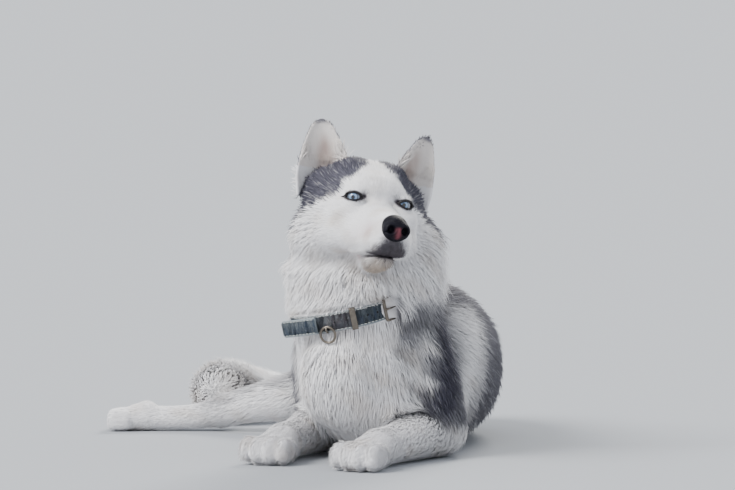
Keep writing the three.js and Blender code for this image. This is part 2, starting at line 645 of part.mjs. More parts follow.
// A repeatable random number from 0 to 1.
let seed = 7;
function random() {
  seed = (seed * 1664525 + 1013904223) % 4294967296;
  return seed / 4294967296;
}
const vary = (size, share) => size * (1 + share * (2 * random() - 1));

// A lock: a flat blade that leaves its root, rises off the core and lies along the coat, to a point.
const LOCK_SINK = 4.5;
const LOCK_RISE = [0, 0.55, 0.9, 1]; // the share of the coat's depth at each step
const LOCK_WIDTH = [0.3, 1, 0.74];
const LOCK_THICK = [1, 0.85, 0.6];

function lockPath(root, out, lie, length, depth) {
  const path = [{ at: root.clone().addScaledVector(out, -LOCK_SINK), out: out.clone() }];
  let at = root.clone();
  let normal = out.clone();
  const stride = length / (LOCK_RISE.length - 1);
  for (const rise of LOCK_RISE.slice(1)) {
    const along = lie.clone().addScaledVector(normal, -lie.dot(normal)).normalize();
    at = at.addScaledVector(along, stride);
    const under = surfaceUnder(at, normal);
    if (under && under.at.distanceTo(at) < 0.7 * stride) {
      at = under.at;
      normal = normal.multiplyScalar(0.6).addScaledVector(under.out, 0.4).normalize();
    }
    path.push({ at: at.clone().addScaledVector(normal, rise * depth), out: normal.clone() });
  }
  return path;
}

function lockSolid({ path, width, thick }, grow = 0) {
  const rings = path.slice(0, -1).map(({ at, out }, k) => {
    const along = path[k + 1].at.clone().sub(at).normalize();
    const side = along.clone().cross(out).normalize();
    const flat = side.clone().cross(along);
    const wide = (width / 2) * LOCK_WIDTH[k] + grow;
    const high = thick * LOCK_THICK[k] + grow;
    const corner = (across, up) => at.clone().addScaledVector(side, across).addScaledVector(flat, up);
    if (grow === 0) return [corner(wide, 0), corner(0, high), corner(-wide, 0)];
    return [corner(wide, -grow), corner(wide, grow), corner(0, high), corner(-wide, grow), corner(-wide, -grow)];
  });
  const tip = path[path.length - 1].at;
  const reach = tip.clone().sub(path[path.length - 2].at).normalize();
  return toSolid(ringGeometry(rings, path[0].at, tip.clone().addScaledVector(reach, 3 * grow)));
}

// How far a lock may run before it would cover the collar, where the collar is in sight.
const toCollar = collarFrame.clone().invert();
function roomAboveCollar(point) {
  const local = point.clone().applyMatrix4(toCollar);
  const facing = Math.cos(Math.atan2(local.y, local.x) - COLLAR_FRONT);
  const radius = Math.hypot(local.x, local.y);
  const above = local.z - COLLAR_HEIGHT / 2;
  if (facing < 0.2 || radius > 150 || local.z < -FITTING_HEIGHT / 2) return Infinity;
  return above;
}

// Roots in staggered rows over a stretch of a form, wherever its own surface is the outer one.
function rootsOn(form, depth, { from, to, rows, around, start = 0, end = TAU, dome = 0 }) {
  const roots = [];
  for (let row = 0; row < rows; row++) {
    for (let k = 0; k < around; k++) {
      const t = dome ? 0 : THREE.MathUtils.lerp(from, to, (row + 0.5 + 0.3 * (random() - 0.5)) / rows);
      const a = start + ((k + 0.5 * (row % 2) + 0.25 + 0.4 * (random() - 0.5)) / around) * (end - start);
      const ring = dome ? -(dome * (row + 0.6)) / rows : 0;
      const point = form.point(t, a, depth, ring);
      const out = point.clone().sub(form.path.getPoint(dome ? Math.min(t + 0.12, 1) : t)).normalize();
      const under = surfaceUnder(point, out);
      if (!under || under.at.distanceTo(point) > 9 || point.z < 12) continue;
      roots.push({ at: under.at, out: out.multiplyScalar(0.5).addScaledVector(under.out, 0.5).normalize(), t, a });
    }
  }
  return roots;
}

const alongForm = (form, share, extra) => ({ t }) => form.path.getTangent(t).multiplyScalar(share).add(extra);

// Where each node's locks grow: the rows, the direction in which they lie, and one lock's sizes.
const coatPlan = {
  chest: [
    { from: 0.06, to: 0.42, rows: 3, around: 8, lie: alongForm(trunk, 1, v(0, 0, -0.7)), length: 110, width: 66, depth: 14 },
    { rows: 1, around: 7, dome: 0.7, lie: () => v(0, -0.15, -1), length: 84, width: 54, depth: 14 },
  ],
  barrel: [{ from: 0.43, to: 0.72, rows: 2, around: 9, lie: alongForm(trunk, 1, v(0, 0, -0.5)), length: 122, width: 66, depth: 14 }],
  rump: [{ from: 0.73, to: 0.98, rows: 2, around: 7, lie: alongForm(trunk, 1, v(0, 0, -0.6)), length: 112, width: 64, depth: 14 }],
  neck: [
    { from: 0.04, to: 0.3, rows: 1, around: 9, lie: () => v(0, 0.2, -1), length: 78, width: 52, depth: 16 },
    { from: 0.42, to: 0.92, rows: 3, around: 9, lie: () => v(0, 0.25, -1), length: 90, width: 60, depth: 18 },
  ],
  tail_base: [{ from: 0.1, to: 0.55, rows: 3, around: 4, lie: alongForm(tailForm, 1, v(0, 0, 0)), length: 104, width: 38, depth: 18 }],
  tail_end: [{ from: 0.56, to: 1, rows: 4, around: 4, lie: alongForm(tailForm, 1, v(0, 0, 0)), length: 90, width: 50, depth: 20 }],
  thigh_right: [{ from: 0.12, to: 0.92, rows: 2, around: 5, lie: alongForm(thigh.right, 1, v(0, 0, -0.4)), length: 92, width: 54, depth: 8 }],
};
const LOCK_SHARE_THICK = 0.1; // a lock's thickness as a share of its width

function locksOf({ name, form, depth }) {
  const locks = [];
  for (const area of coatPlan[name] ?? []) {
    for (const root of rootsOn(form, depth, area)) {
      const free = roomAboveCollar(root.at);
      const length = Math.min(vary(area.length, 0.15), 1.05 * free);
      if (length < 24) continue;
      const width = vary(area.width, 0.12);
      const swing = v(random() - 0.5, random() - 0.5, random() - 0.5).multiplyScalar(0.35);
      const path = lockPath(root.at, root.out, area.lie(root).normalize().add(swing), length, vary(area.depth, 0.2));
      locks.push({ path, width, thick: LOCK_SHARE_THICK * width });
    }
  }
  return locks;
}

// The tuft of each cheek: locks that fan out behind the jaw.
const CHEEK_LOCKS = 4;
function cheekLocks(sign) {
  return Array.from({ length: CHEEK_LOCKS }, (_, i) => {
    const share = i / (CHEEK_LOCKS - 1);
    const turn = THREE.MathUtils.degToRad(THREE.MathUtils.lerp(8, -52, share));
    const from = HEAD_AXIS.getPoint(0.06);
    const ray = v(Math.cos(turn), 0.15, Math.sin(turn)).normalize();
    const at = mirrored(leaveHead(from, ray), sign).applyMatrix4(headFrame);
    const out = mirrored(ray, sign).transformDirection(headFrame);
    const lie = v(sign * 0.45, 0.5, -1).transformDirection(headFrame);
    const width = vary(34, 0.1);
    return { path: lockPath(at, out, lie, vary(52, 0.1), vary(9, 0.1)), width, thick: LOCK_SHARE_THICK * width };
  });
}

const cheeks = [...cheekLocks(SIDES.left), ...cheekLocks(SIDES.right)];
const cheekSolid = (grow) => joined(...cheeks.map((lock) => lockSolid(lock, grow)));
const lipRoom = joined(mouthTube(4.4, 3.6 + 3 * GAP, 2.4), mouthTube(-4.4, 3.2 + 3 * GAP, 2.4));
place(
  'head',
  toWorld(headInOwnFrame()).add(cheekSolid(0)),
  toWorld(headSolid(HEAD_GAP).add(lipRoom)).add(cheekSolid(2 * GAP)),
  coat.white,
);
for (const [side, sign] of Object.entries(SIDES)) {
  place('ear_' + side, toWorld(earInOwnFrame(sign)), toWorld(earInOwnFrame(sign, EAR_ROOM)), coat.grey);
}

for (const piece of pieces) {
  const locks = locksOf(piece);
  const [solid, room] = withRoom((grow) =>
    joined(coreSolid(piece, grow), ...locks.map((lock) => lockSolid(lock, grow))),
  );
  place(piece.name, solid, room, piece.look);
}

export default dog;
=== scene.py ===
"""A siberian husky lying down: one skin, a solid coat in tufts, eyes, lids, nose, claws and a collar."""
import math

import bpy
import numpy as np
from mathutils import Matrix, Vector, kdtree


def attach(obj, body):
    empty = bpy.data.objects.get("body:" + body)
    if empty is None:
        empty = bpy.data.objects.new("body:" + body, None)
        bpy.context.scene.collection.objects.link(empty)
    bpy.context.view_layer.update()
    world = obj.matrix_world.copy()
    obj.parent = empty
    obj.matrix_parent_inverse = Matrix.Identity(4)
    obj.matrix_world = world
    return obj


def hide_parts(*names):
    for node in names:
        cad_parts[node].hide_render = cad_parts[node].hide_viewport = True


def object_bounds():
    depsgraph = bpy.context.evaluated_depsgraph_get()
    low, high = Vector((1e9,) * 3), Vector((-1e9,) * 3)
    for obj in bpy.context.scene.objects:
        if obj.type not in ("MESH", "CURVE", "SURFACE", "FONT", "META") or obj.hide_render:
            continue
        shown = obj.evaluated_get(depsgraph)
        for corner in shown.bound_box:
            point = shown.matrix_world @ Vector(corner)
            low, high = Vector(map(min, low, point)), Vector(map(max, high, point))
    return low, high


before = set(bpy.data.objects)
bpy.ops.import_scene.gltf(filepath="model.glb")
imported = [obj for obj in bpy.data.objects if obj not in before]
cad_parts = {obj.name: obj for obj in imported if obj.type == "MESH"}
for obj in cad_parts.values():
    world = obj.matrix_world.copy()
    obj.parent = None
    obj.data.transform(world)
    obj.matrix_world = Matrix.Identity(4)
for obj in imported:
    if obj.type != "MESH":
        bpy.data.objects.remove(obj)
size_before = [list(corner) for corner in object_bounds()]
box_low = np.array(size_before[0]) * 1000
box_high = np.array(size_before[1]) * 1000

# All shapes below are in millimetres, +Z up, and are scaled to metres when a mesh is made.
MM = 0.001
rng = np.random.default_rng(11)

# The dog's own sides, and their way along X in the head frame.
SIDES = {"left": 1.0, "right": -1.0}

# Head frame: origin in the middle of the skull, -Y forward, +X the dog's left.
HEAD_AT = np.array([-27.0, -95.0, 357.0])
HEAD_TURN = math.radians(17)
HEAD_TILT = math.radians(9)
EYE = np.array([35.5, -55.0, 8.0])
EYE_AXIS = np.array([0.42, -0.9, 0.1])
EYE_RADIUS = 11.5
LID_RADIUS = 13.3
EYE_HALF = (11.2, 5.3)  # the opening's half width and half height
EYE_LIFT = math.radians(-1)  # how far the outer corner stands above the inner one
NOSE = np.array([0.0, -152.0, -32.0])
MOUTH_BACK = -74.0
EAR_ROOT = np.array([64.0, 14.0, 34.0])
EAR_TIP = np.array([79.0, 18.0, 113.0])
EAR_SPREAD = np.array([0.8, 0.28, -0.5])
EAR_WIDTH = 80.0
EAR_THICK = (4.6, 3.3)  # the flesh at the root and at the tip
EAR_ROUND = 0.17  # the share of the ear that its round top takes up
EAR_BEND = (1.15, 0.55)  # half of the arc that the ear is curled round, at the root and at the tip
EAR_NARROWS = 0.74
EAR_FOOT = -0.3  # how far down into the skull the ear goes on, as a share of its height

# Collar frame: a leaning oval round the neck.
COLLAR_AT = np.array([-54.0, -78.0, 210.0])
COLLAR_HALF = np.array([79.0, 76.0])
COLLAR_HEIGHT = 27.0
COLLAR_THICK = 3.2
COLLAR_LEAN = (math.radians(7), math.radians(-12))
COLLAR_FRONT = math.radians(-112)  # the middle of the part that the coat leaves in sight
STRAP_SEEN = 0.21  # the cosine of the angle from there to where the coat covers it
TIP_ANGLE = math.radians(-121)
KEEPER_ANGLE = math.radians(-83)
BUCKLE_ANGLE = math.radians(-40)
RING_ANGLE = math.radians(-111)


def rotation(axis, angle):
    c, s = math.cos(angle), math.sin(angle)
    turns = {
        "x": [[1, 0, 0], [0, c, -s], [0, s, c]],
        "y": [[c, 0, s], [0, 1, 0], [-s, 0, c]],
        "z": [[c, -s, 0], [s, c, 0], [0, 0, 1]],
    }
    return np.array(turns[axis])


HEAD_AXES = rotation("z", HEAD_TURN) @ rotation("y", HEAD_TILT)
COLLAR_AXES = rotation("x", COLLAR_LEAN[0]) @ rotation("y", COLLAR_LEAN[1])


def to_head(p):
    return (p - HEAD_AT) @ HEAD_AXES


def from_head(p):
    return np.asarray(p) @ HEAD_AXES.T + HEAD_AT


def to_collar(p):
    return (p - COLLAR_AT) @ COLLAR_AXES


def from_collar(p):
    return np.asarray(p) @ COLLAR_AXES.T + COLLAR_AT


def length_of(v):
    return np.sqrt((v * v).sum(-1))


def unit(v):
    return v / np.maximum(length_of(v), 1e-9)[..., None]


def across(v, n):
    """The part of v that is square to n, at unit length."""
    return unit(v - (v * n).sum(-1)[..., None] * n)


def smooth_min(a, b, k):
    h = np.maximum(k - np.abs(a - b), 0) / k
    return np.minimum(a, b) - h * h * k / 4


def smooth_max(a, b, k):
    return -smooth_min(-a, -b, k)


def ramp(x, low, high):
    s = np.clip((x - low) / (high - low), 0, 1)
    return s * s * (3 - 2 * s)


def bell(x, middle, width):
    return np.exp(-(((x - middle) / width) ** 2))


def mirrored(local):
    """Points of the head's frame with its right side laid on its left, as both sides are alike."""
    q = local.copy()
    q[:, 0] = np.abs(q[:, 0])
    return q


def spline(points, t):
    """A centripetal Catmull-Rom line through the points, at t from 0 to 1."""
    p = np.asarray(points, float)
    p = np.vstack([2 * p[0] - p[1], p, 2 * p[-1] - p[-2]])
    at = np.clip(t, 0, 1) * (len(p) - 3)
    i = np.minimum(at.astype(int), len(p) - 4)
    w = (at - i)[:, None]
    a, b, c, d = p[i], p[i + 1], p[i + 2], p[i + 3]

    def gap(m, n):
        return np.maximum(np.sqrt(length_of(m - n)), 1e-4)[:, None]

    g0, g1, g2 = gap(a, b), gap(b, c), gap(c, d)
    s = ((b - a) / g0 - (c - a) / (g0 + g1) + (c - b) / g1) * g1
    e = ((c - b) / g1 - (d - b) / (g1 + g2) + (d - c) / g2) * g1
    return b + s * w + (3 * (c - b) - 2 * s - e) * w**2 + (2 * (b - c) + s + e) * w**3


class Form:
    """A tube of flesh: stations [x, y, z, half width, half height, depth of the coat] along a limb."""

    def __init__(self, stations, up=(0, 0, 1), square=2.0, domes=(1, 1), blend=14.0, samples=41):
        s = np.array(stations, float)
        t = np.linspace(0, 1, samples)
        self.centre = spline(s[:, :3], t)
        self.depth = spline(s[:, 5:6], t)
        self.size = spline(s[:, 3:5], t) - self.depth
        ahead = np.gradient(self.centre, axis=0)
        self.step = length_of(ahead)
        self.along = unit(ahead)
        self.tall = across(np.tile(np.array(up, float), (samples, 1)), self.along)
        self.wide = np.cross(self.tall, self.along)
        self.square = square
        self.domes = domes
        self.blend = blend
        self.last = samples - 1
        reach = self.size.max()
        self.low = self.centre.min(0) - reach
        self.high = self.centre.max(0) + reach

    def locate(self, p):
        """Each point's place t along the form, and how far off it is across, up and past an end."""
        near = np.argmin((self.centre**2).sum(1) - 2 * p @ self.centre.T, axis=1)
        ahead = ((p - self.centre[near]) * self.along[near]).sum(1)
        at = np.clip(near + ahead / self.step[near], 0, self.last)
        i = np.minimum(at.astype(int), self.last - 1)
        f = (at - i)[:, None]

        def mix(values):
            return values[i] * (1 - f) + values[i + 1] * f

        off = p - mix(self.centre)
        w = (off * mix(self.wide)).sum(1)
        h = (off * mix(self.tall)).sum(1)
        past = (off * mix(self.along)).sum(1)
        past = np.where((at <= 0) | (at >= self.last), past, 0)
        return at / self.last, w, h, past, mix(self.size)

    def distance(self, p):
        t, w, h, past, size = self.locate(p)
        dome = np.where(t < 0.5, self.domes[0], self.domes[1]) * size.min(1)
        side = np.abs(w / size[:, 0]) ** self.square + np.abs(h / size[:, 1]) ** self.square
        ratio = np.sqrt(side ** (2 / self.square) + (past / dome) ** 2)
        reach = np.sqrt(w * w + h * h + past * past)
        radius = np.where(ratio > 1e-3, reach / np.maximum(ratio, 1e-3), size.min(1))
        return (ratio - 1) * radius

    def direction(self, t):
        return self.along[np.clip((t * self.last).astype(int), 0, self.last)]

    def coat_depth(self, t):
        return np.interp(t * self.last, np.arange(self.last + 1), self.depth[:, 0])


UP_FRONT = (0, -1, 0)
trunk = Form(
    [
        [-66, -120, 112, 58, 68, 13],
        [-48, -88, 116, 84, 96, 15],
        [-22, -40, 120, 98, 118, 17],
        [6, 15, 124, 104, 130, 18],
        [36, 75, 126, 108, 132, 18],
        [64, 140, 122, 107, 126, 18],
        [84, 210, 114, 100, 116, 18],
        [90, 280, 106, 94, 108, 18],
        [84, 345, 99, 90, 102, 18],
        [62, 405, 94, 85, 96, 18],
        [32, 452, 88, 68, 84, 16],
    ],
    square=2.15,
    domes=(0.75, 0.6),
    blend=30,
    samples=61,
)
neck = Form(
    [
        [-28, -20, 130, 88, 92, 20],
        [-34, -45, 180, 96, 92, 13],
        [-40, -64, 222, 98, 88, 8],
        [-28, -62, 262, 119, 94, 27],
        [-24, -52, 308, 114, 90, 26],
        [-26, -42, 342, 84, 64, 18],
    ],
    up=UP_FRONT,
    blend=30,
)
arms = {
    "upper_arm_left": [[34, -30, 205, 38, 50, 10], [46, -46, 150, 50, 60, 14], [64, -50, 92, 48, 54, 13],
                       [80, -42, 44, 36, 40, 9]],
    "upper_arm_right": [[-78, 22, 205, 38, 50, 10], [-86, 14, 150, 48, 58, 14], [-88, 24, 92, 46, 52, 13],
                        [-84, 44, 44, 36, 40, 9]],
}
legs = {
    "forearm_left": [[80, -44, 36, 36, 36, 9], [48, -94, 35, 33, 34, 8], [16, -146, 30, 27, 28, 6],
                     [-8, -186, 27, 25, 26, 5]],
    "forearm_right": [[-84, 44, 36, 36, 36, 9], [-106, -10, 35, 33, 34, 8], [-126, -60, 30, 27, 28, 6],
                      [-143, -102, 27, 25, 26, 5]],
    "thigh_right": [[62, 372, 118, 74, 68, 20], [8, 335, 104, 72, 60, 20], [-52, 298, 84, 58, 50, 16],
                    [-100, 276, 68, 46, 44, 12]],
    "thigh_left": [[70, 330, 56, 60, 56, 14], [28, 262, 52, 60, 50, 14], [-12, 200, 46, 50, 44, 12],
                   [-34, 172, 44, 42, 40, 10]],
    "shank_right": [[-102, 274, 66, 44, 44, 11], [-148, 292, 58, 38, 40, 9], [-205, 318, 46, 28, 30, 6],
                    [-258, 338, 32, 21, 26, 4]],
    "shank_left": [[-34, 176, 44, 40, 38, 10], [-36, 224, 38, 36, 34, 8], [-30, 284, 32, 27, 28, 6],
                   [-22, 334, 27, 21, 24, 4]],
}
feet = {
    "hind_foot_right": [[-258, 339, 30, 21, 24, 4], [-312, 344, 22, 19, 20, 3.5], [-362, 349, 20, 22, 19, 3],
                        [-392, 352, 20, 27, 19, 3]],
    "hind_foot_left": [[-22, 332, 27, 21, 22, 4], [-52, 296, 21, 19, 19, 3.5], [-78, 262, 20, 22, 18, 3],
                       [-94, 242, 20, 26, 18, 3]],
}
tail = Form(
    [
        [8, 462, 88, 30, 30, 12],
        [-58, 510, 54, 35, 33, 14],
        [-136, 538, 38, 40, 34, 15],
        [-208, 534, 46, 46, 42, 17],
        [-256, 494, 54, 54, 53, 21],
        [-266, 440, 56, 52, 50, 21],
    ],
    domes=(0.6, 0.75),
    blend=12,
)
forms = {"trunk": trunk, "neck": neck, "tail": tail}
for name, stations in arms.items():
    forms[name] = Form(stations, up=UP_FRONT, blend=18)
for name, stations in legs.items():
    forms[name] = Form(stations, blend=16)
for name, stations in feet.items():
    forms[name] = Form(stations, blend=8)

# Paws: a pad and four toes that fan out, and a claw at the end of each toe.
TOES = 4
TOE_RADIUS = 10.0
PAW_COAT = 2.2
FORE_PAW = (76.0, 58.0, 43.0)
HIND_PAW = (60.0, 54.0, 38.0)
PAWS = {
    "forepaw_left": ([-10, -188], [80, -44], [-58, -276], FORE_PAW),
    "forepaw_right": ([-144, -104], [-84, 44], [-186, -206], FORE_PAW),
    "hind_paw_right": ([-378, 351], [-262, 340], [-430, 356], HIND_PAW),
    "hind_paw_left": ([-84, 250], [-22, 332], [-110, 222], HIND_PAW),
}
claw_roots = []
for name, (wrist, start, end, (paw_length, paw_width, paw_height)) in PAWS.items():
    forward = unit(np.array([end[0] - start[0], end[1] - start[1], 0.0]))
    sideways = np.array([-forward[1], forward[0], 0.0])
    wrist = np.array([wrist[0], wrist[1], 0.0])

    def station(ahead, aside, z, wide, high):
        at = wrist + forward * ahead * paw_length + sideways * aside
        return [at[0], at[1], z * paw_height, wide, high, PAW_COAT]

    forms[name] = Form(
        [
            station(0, 0, 0.62, 0.42 * paw_width, 0.6 * paw_height),
            station(0.3, 0, 0.52, 0.46 * paw_width, 0.55 * paw_height),
            station(0.7, 0, 0.42, 0.44 * paw_width, 0.44 * paw_height),
        ],
        blend=7,
        samples=13,
    )
    for toe in range(TOES):
        off = toe - (TOES - 1) / 2
        aside = off / TOES * paw_width
        middle = 1 - abs(off) / TOES
        reach = 0.68 + 0.22 * middle
        forms[f"{name}_toe_{toe}"] = Form(
            [
                station(0.42, aside * 1.16, 0.46, TOE_RADIUS, 0.36 * paw_height),
                station(reach - 0.08, aside * 1.24, 0.46, TOE_RADIUS, 0.45 * paw_height),
                station(reach, aside * 1.26, 0.34, TOE_RADIUS, 0.34 * paw_height),
            ],
            domes=(0.5, 1),
            blend=9,
            samples=9,
        )
        claw_at = wrist + forward * (reach * paw_length + 5.5) + sideways * aside * 1.27
        claw_roots.append((claw_at + [0, 0, 0.34 * paw_height], forward))


def egg(p, at, radii):
    d = (p - np.array(at, float)) / radii
    reach = length_of(d)
    return reach * (reach - 1) / np.maximum(length_of(d / radii), 1e-6)


def taper(p, start, end, start_radius, end_radius):
    start, end = np.array(start, float), np.array(end, float)
    along = end - start
    share = np.clip((p - start) @ along / (along @ along), 0, 1)
    radius = start_radius + (end_radius - start_radius) * share
    return length_of(p - start - share[:, None] * along) - radius


def mouth_height(y):
    return -68 - 0.05 * (y + 142)


EYE_AHEAD = unit(EYE_AXIS)
EYE_OUT = across(np.array([1.0, 0.0, 0.0]), EYE_AHEAD)
EYE_UP = np.cross(EYE_AHEAD, EYE_OUT)


def eye_offsets(q):
    """How far points of the head's frame are outwards, up and forward of the eye's middle. q has x >= 0."""
    off = q - EYE
    u, v = off @ EYE_OUT, off @ EYE_UP
    c, s = math.cos(EYE_LIFT), math.sin(EYE_LIFT)
    return u * c + v * s, v * c - u * s, off @ EYE_AHEAD


def head_coat_depth(q):
    back = ramp(q[:, 1], -100, 0)
    low = ramp(-q[:, 2], 20, 75)
    side = ramp(q[:, 0], 40, 90)
    chin = bell(q[:, 2], -84, 13) * ramp(-q[:, 1], 66, 100)
    return 1.5 + 4.5 * back + 9 * back * np.maximum(low, side) + 4.5 * chin


# The head's forms in its middle and on its left side. An egg has a middle and radii, and a taper two ends and
# a radius at each. The last number is how softly a form blends into those before it.
HEAD_FORMS = [
    (egg, [0, 12, 14], [66, 70, 54], 1),  # skull
    (egg, [26, 4, 40], [34, 36, 29], 12),  # crown
    (egg, [58, 20, 16], [33, 40, 36], 16),  # root of the ear
    (egg, [0, -36, 20], [42, 34, 28], 14),  # forehead
    (egg, [25, -48, 20], [18, 17, 14], 8),  # brow
    (egg, [50, 4, -18], [44, 50, 52], 16),  # cheek bone
    (egg, [54, 28, -50], [46, 46, 46], 18),  # angle of the jaw
    (egg, [40, -38, -14], [27, 34, 26], 12),  # under the eye
    (taper, [0, -62, -28], [0, -130, -37], 37, 26, 12),  # bridge of the muzzle
    (taper, [16, -66, -50], [12, -134, -50], 22, 18, 8),  # upper lip
    (taper, [0, -35, -68], [0, -121, -73], 28, 14, 8),  # lower jaw
    (egg, [0, 12, -66], [74, 58, 44], 16),  # throat
    (egg, [31, -62, -44], [21, 36, 24], 18),  # side of the muzzle
    (egg, [52, 0, -50], [37, 42, 37], 20),  # back of the cheek
    (egg, [42, -30, -46], [31, 36, 31], 18),  # front of the cheek
]
NOSE_STOP = np.array([41, -80, 7])  # the hollow between the muzzle and the eye
NOSE_STOP_RADIUS = 11
FAR = 1000.0


def head_distance(local):
    q = mirrored(local)
    d = np.full(len(q), FAR)
    for form, *sizes, blend in HEAD_FORMS:
        d = smooth_min(d, form(q, *sizes), blend)
    d = smooth_max(d, NOSE_STOP_RADIUS - length_of(q - NOSE_STOP), 8)
    d = d + head_coat_depth(q)
    # The furrow of the forehead, and the lips on both sides of the line of the mouth.
    d = d + 1.6 * bell(q[:, 0], 0, 7) * bell(q[:, 1], -52, 26) * ramp(q[:, 2], -10, 20)
    lips = ramp(-q[:, 1], -MOUTH_BACK - 8, -MOUTH_BACK + 8)
    off_line = q[:, 2] - mouth_height(q[:, 1])
    d = d - 1.8 * lips * (bell(off_line, 4.2, 3) + bell(off_line, -4.2, 3))
    slit = np.maximum(np.abs(off_line) - 1.0, (q[:, 1] - MOUTH_BACK) * 0.5)
    d = smooth_max(d, -np.maximum(slit, -d - 5), 0.8)
    # Lids over the eyeball, opened as an almond.
    d = smooth_min(d, length_of(q - EYE) - LID_RADIUS, 6)
    out, up, ahead = eye_offsets(q)
    shape = np.sqrt((out / EYE_HALF[0]) ** 2 + (up / EYE_HALF[1]) ** 2)
    opening = np.where(ahead > 0, (shape - 1) * EYE_HALF[1], 30.0)
    d = smooth_max(d, -opening, 1.0)
    return smooth_max(d, EYE_RADIUS - 0.6 - length_of(q - EYE), 0.6)


def ear_place(q):
    """Where points of the head's frame are on the ear: up it, round its arc, and off its outer face."""
    rise = unit(EAR_TIP - EAR_ROOT)
    total = length_of(EAR_TIP - EAR_ROOT)
    outward = across(EAR_SPREAD, rise)
    back = np.cross(rise, outward)
    back = back if back[1] > 0 else -back
    off = q - EAR_ROOT
    u = off @ rise / total
    held = np.clip(u, 0, 0.985)
    bend = EAR_BEND[0] + (EAR_BEND[1] - EAR_BEND[0]) * held
    straight = EAR_WIDTH / 2 * (1 - EAR_NARROWS * held**1.45)
    end = np.maximum(held - 1 + EAR_ROUND, 0) / EAR_ROUND
    radius = straight * np.sqrt(1 - end**2) / np.sin(bend)
    s = off @ outward
    b = off @ back + np.cos(bend) * radius
    return u, held, bend, radius, np.arctan2(s, b), np.hypot(s, b), total


def inner_face(radius, reach):
    """Whether points of the ear are on the face inside its arc."""
    return reach < radius - EAR_THICK[0] / 2


def ear_distance(q):
    u, held, bend, radius, angle, reach, total = ear_place(q)
    thick = EAR_THICK[0] + (EAR_THICK[1] - EAR_THICK[0]) * held
    off_middle = np.abs(reach - radius + EAR_THICK[0] / 2)
    past_edge = np.maximum(np.abs(angle) - bend, 0) * radius
    past_top = np.maximum(u - held, 0) * total
    past_root = np.maximum(EAR_FOOT - u, 0) * total
    return np.sqrt(off_middle**2 + past_edge**2 + past_top**2 + past_root**2) - thick / 2


def collar_bed(p):
    """The coat pressed flat under the strap: an oval that just fills it."""
    c = to_collar(p)
    inner = COLLAR_HALF - 2.6
    ratio = np.sqrt((c[:, 0] / inner[0]) ** 2 + (c[:, 1] / inner[1]) ** 2)
    reach = np.hypot(c[:, 0], c[:, 1]) / np.maximum(ratio, 1e-3)
    return np.maximum((ratio - 1) * reach, np.abs(c[:, 2]) - COLLAR_HEIGHT / 2 + 2)


OUTSIDE = 400.0
FORM_MARGIN = 70  # how far off a form still counts
HEAD_REACH = 240  # and the head
COLLAR_BLEND = 14
HEAD_BLEND = 12
EAR_BLEND = 3
FLOOR_GAP = 0.8


def flesh(p, with_ears=True):
    """How far outside the skin each point is, in millimetres. The forms run smoothly into each other."""
    p = np.asarray(p, float)
    d = np.full(len(p), OUTSIDE)
    for form in forms.values():
        near = np.all((p > form.low - FORM_MARGIN) & (p < form.high + FORM_MARGIN), axis=1)
        if near.any():
            d[near] = smooth_min(d[near], form.distance(p[near]), form.blend)
    near = length_of(p - HEAD_AT) < HEAD_REACH
    if near.any():
        local = to_head(p[near])
        part = smooth_min(d[near], collar_bed(p[near]), COLLAR_BLEND)
        part = smooth_min(part, head_distance(local), HEAD_BLEND)
        d[near] = smooth_min(part, ear_distance(mirrored(local)), EAR_BLEND) if with_ears else part
    return smooth_max(d, FLOOR_GAP - p[:, 2], 3)


def in_chunks(function, p, size=150000):
    return np.concatenate([function(p[i:i + size]) for i in range(0, len(p), size)])


def gradient(field, p, step=0.6):
    here = field(p)
    steps = [field(p + step * axis) - here for axis in np.eye(3)]
    return here, np.stack(steps, 1) / step


# One surface out of the field, on a grid that is finest at the face and the ears.
def grid_axis(stretches, end):
    parts = []
    for (start, step), (stop, _) in zip(stretches, stretches[1:] + [(end, 0)]):
        count = max(1, round((stop - start) / step))
        parts.append(np.linspace(start, stop, count, endpoint=False))
    return np.concatenate(parts + [[end]])


FINE = 2.2
COARSE = 5.0
GRID = [
    grid_axis([(-470, COARSE), (-190, 3.2), (-132, FINE), (72, COARSE)], 200),
    grid_axis([(-292, 3.2), (-250, FINE), (-24, COARSE)], 580),
    grid_axis([(-4, 3.2), (46, COARSE), (262, FINE), (488, FINE)], 492),
]
BLOCK = 4


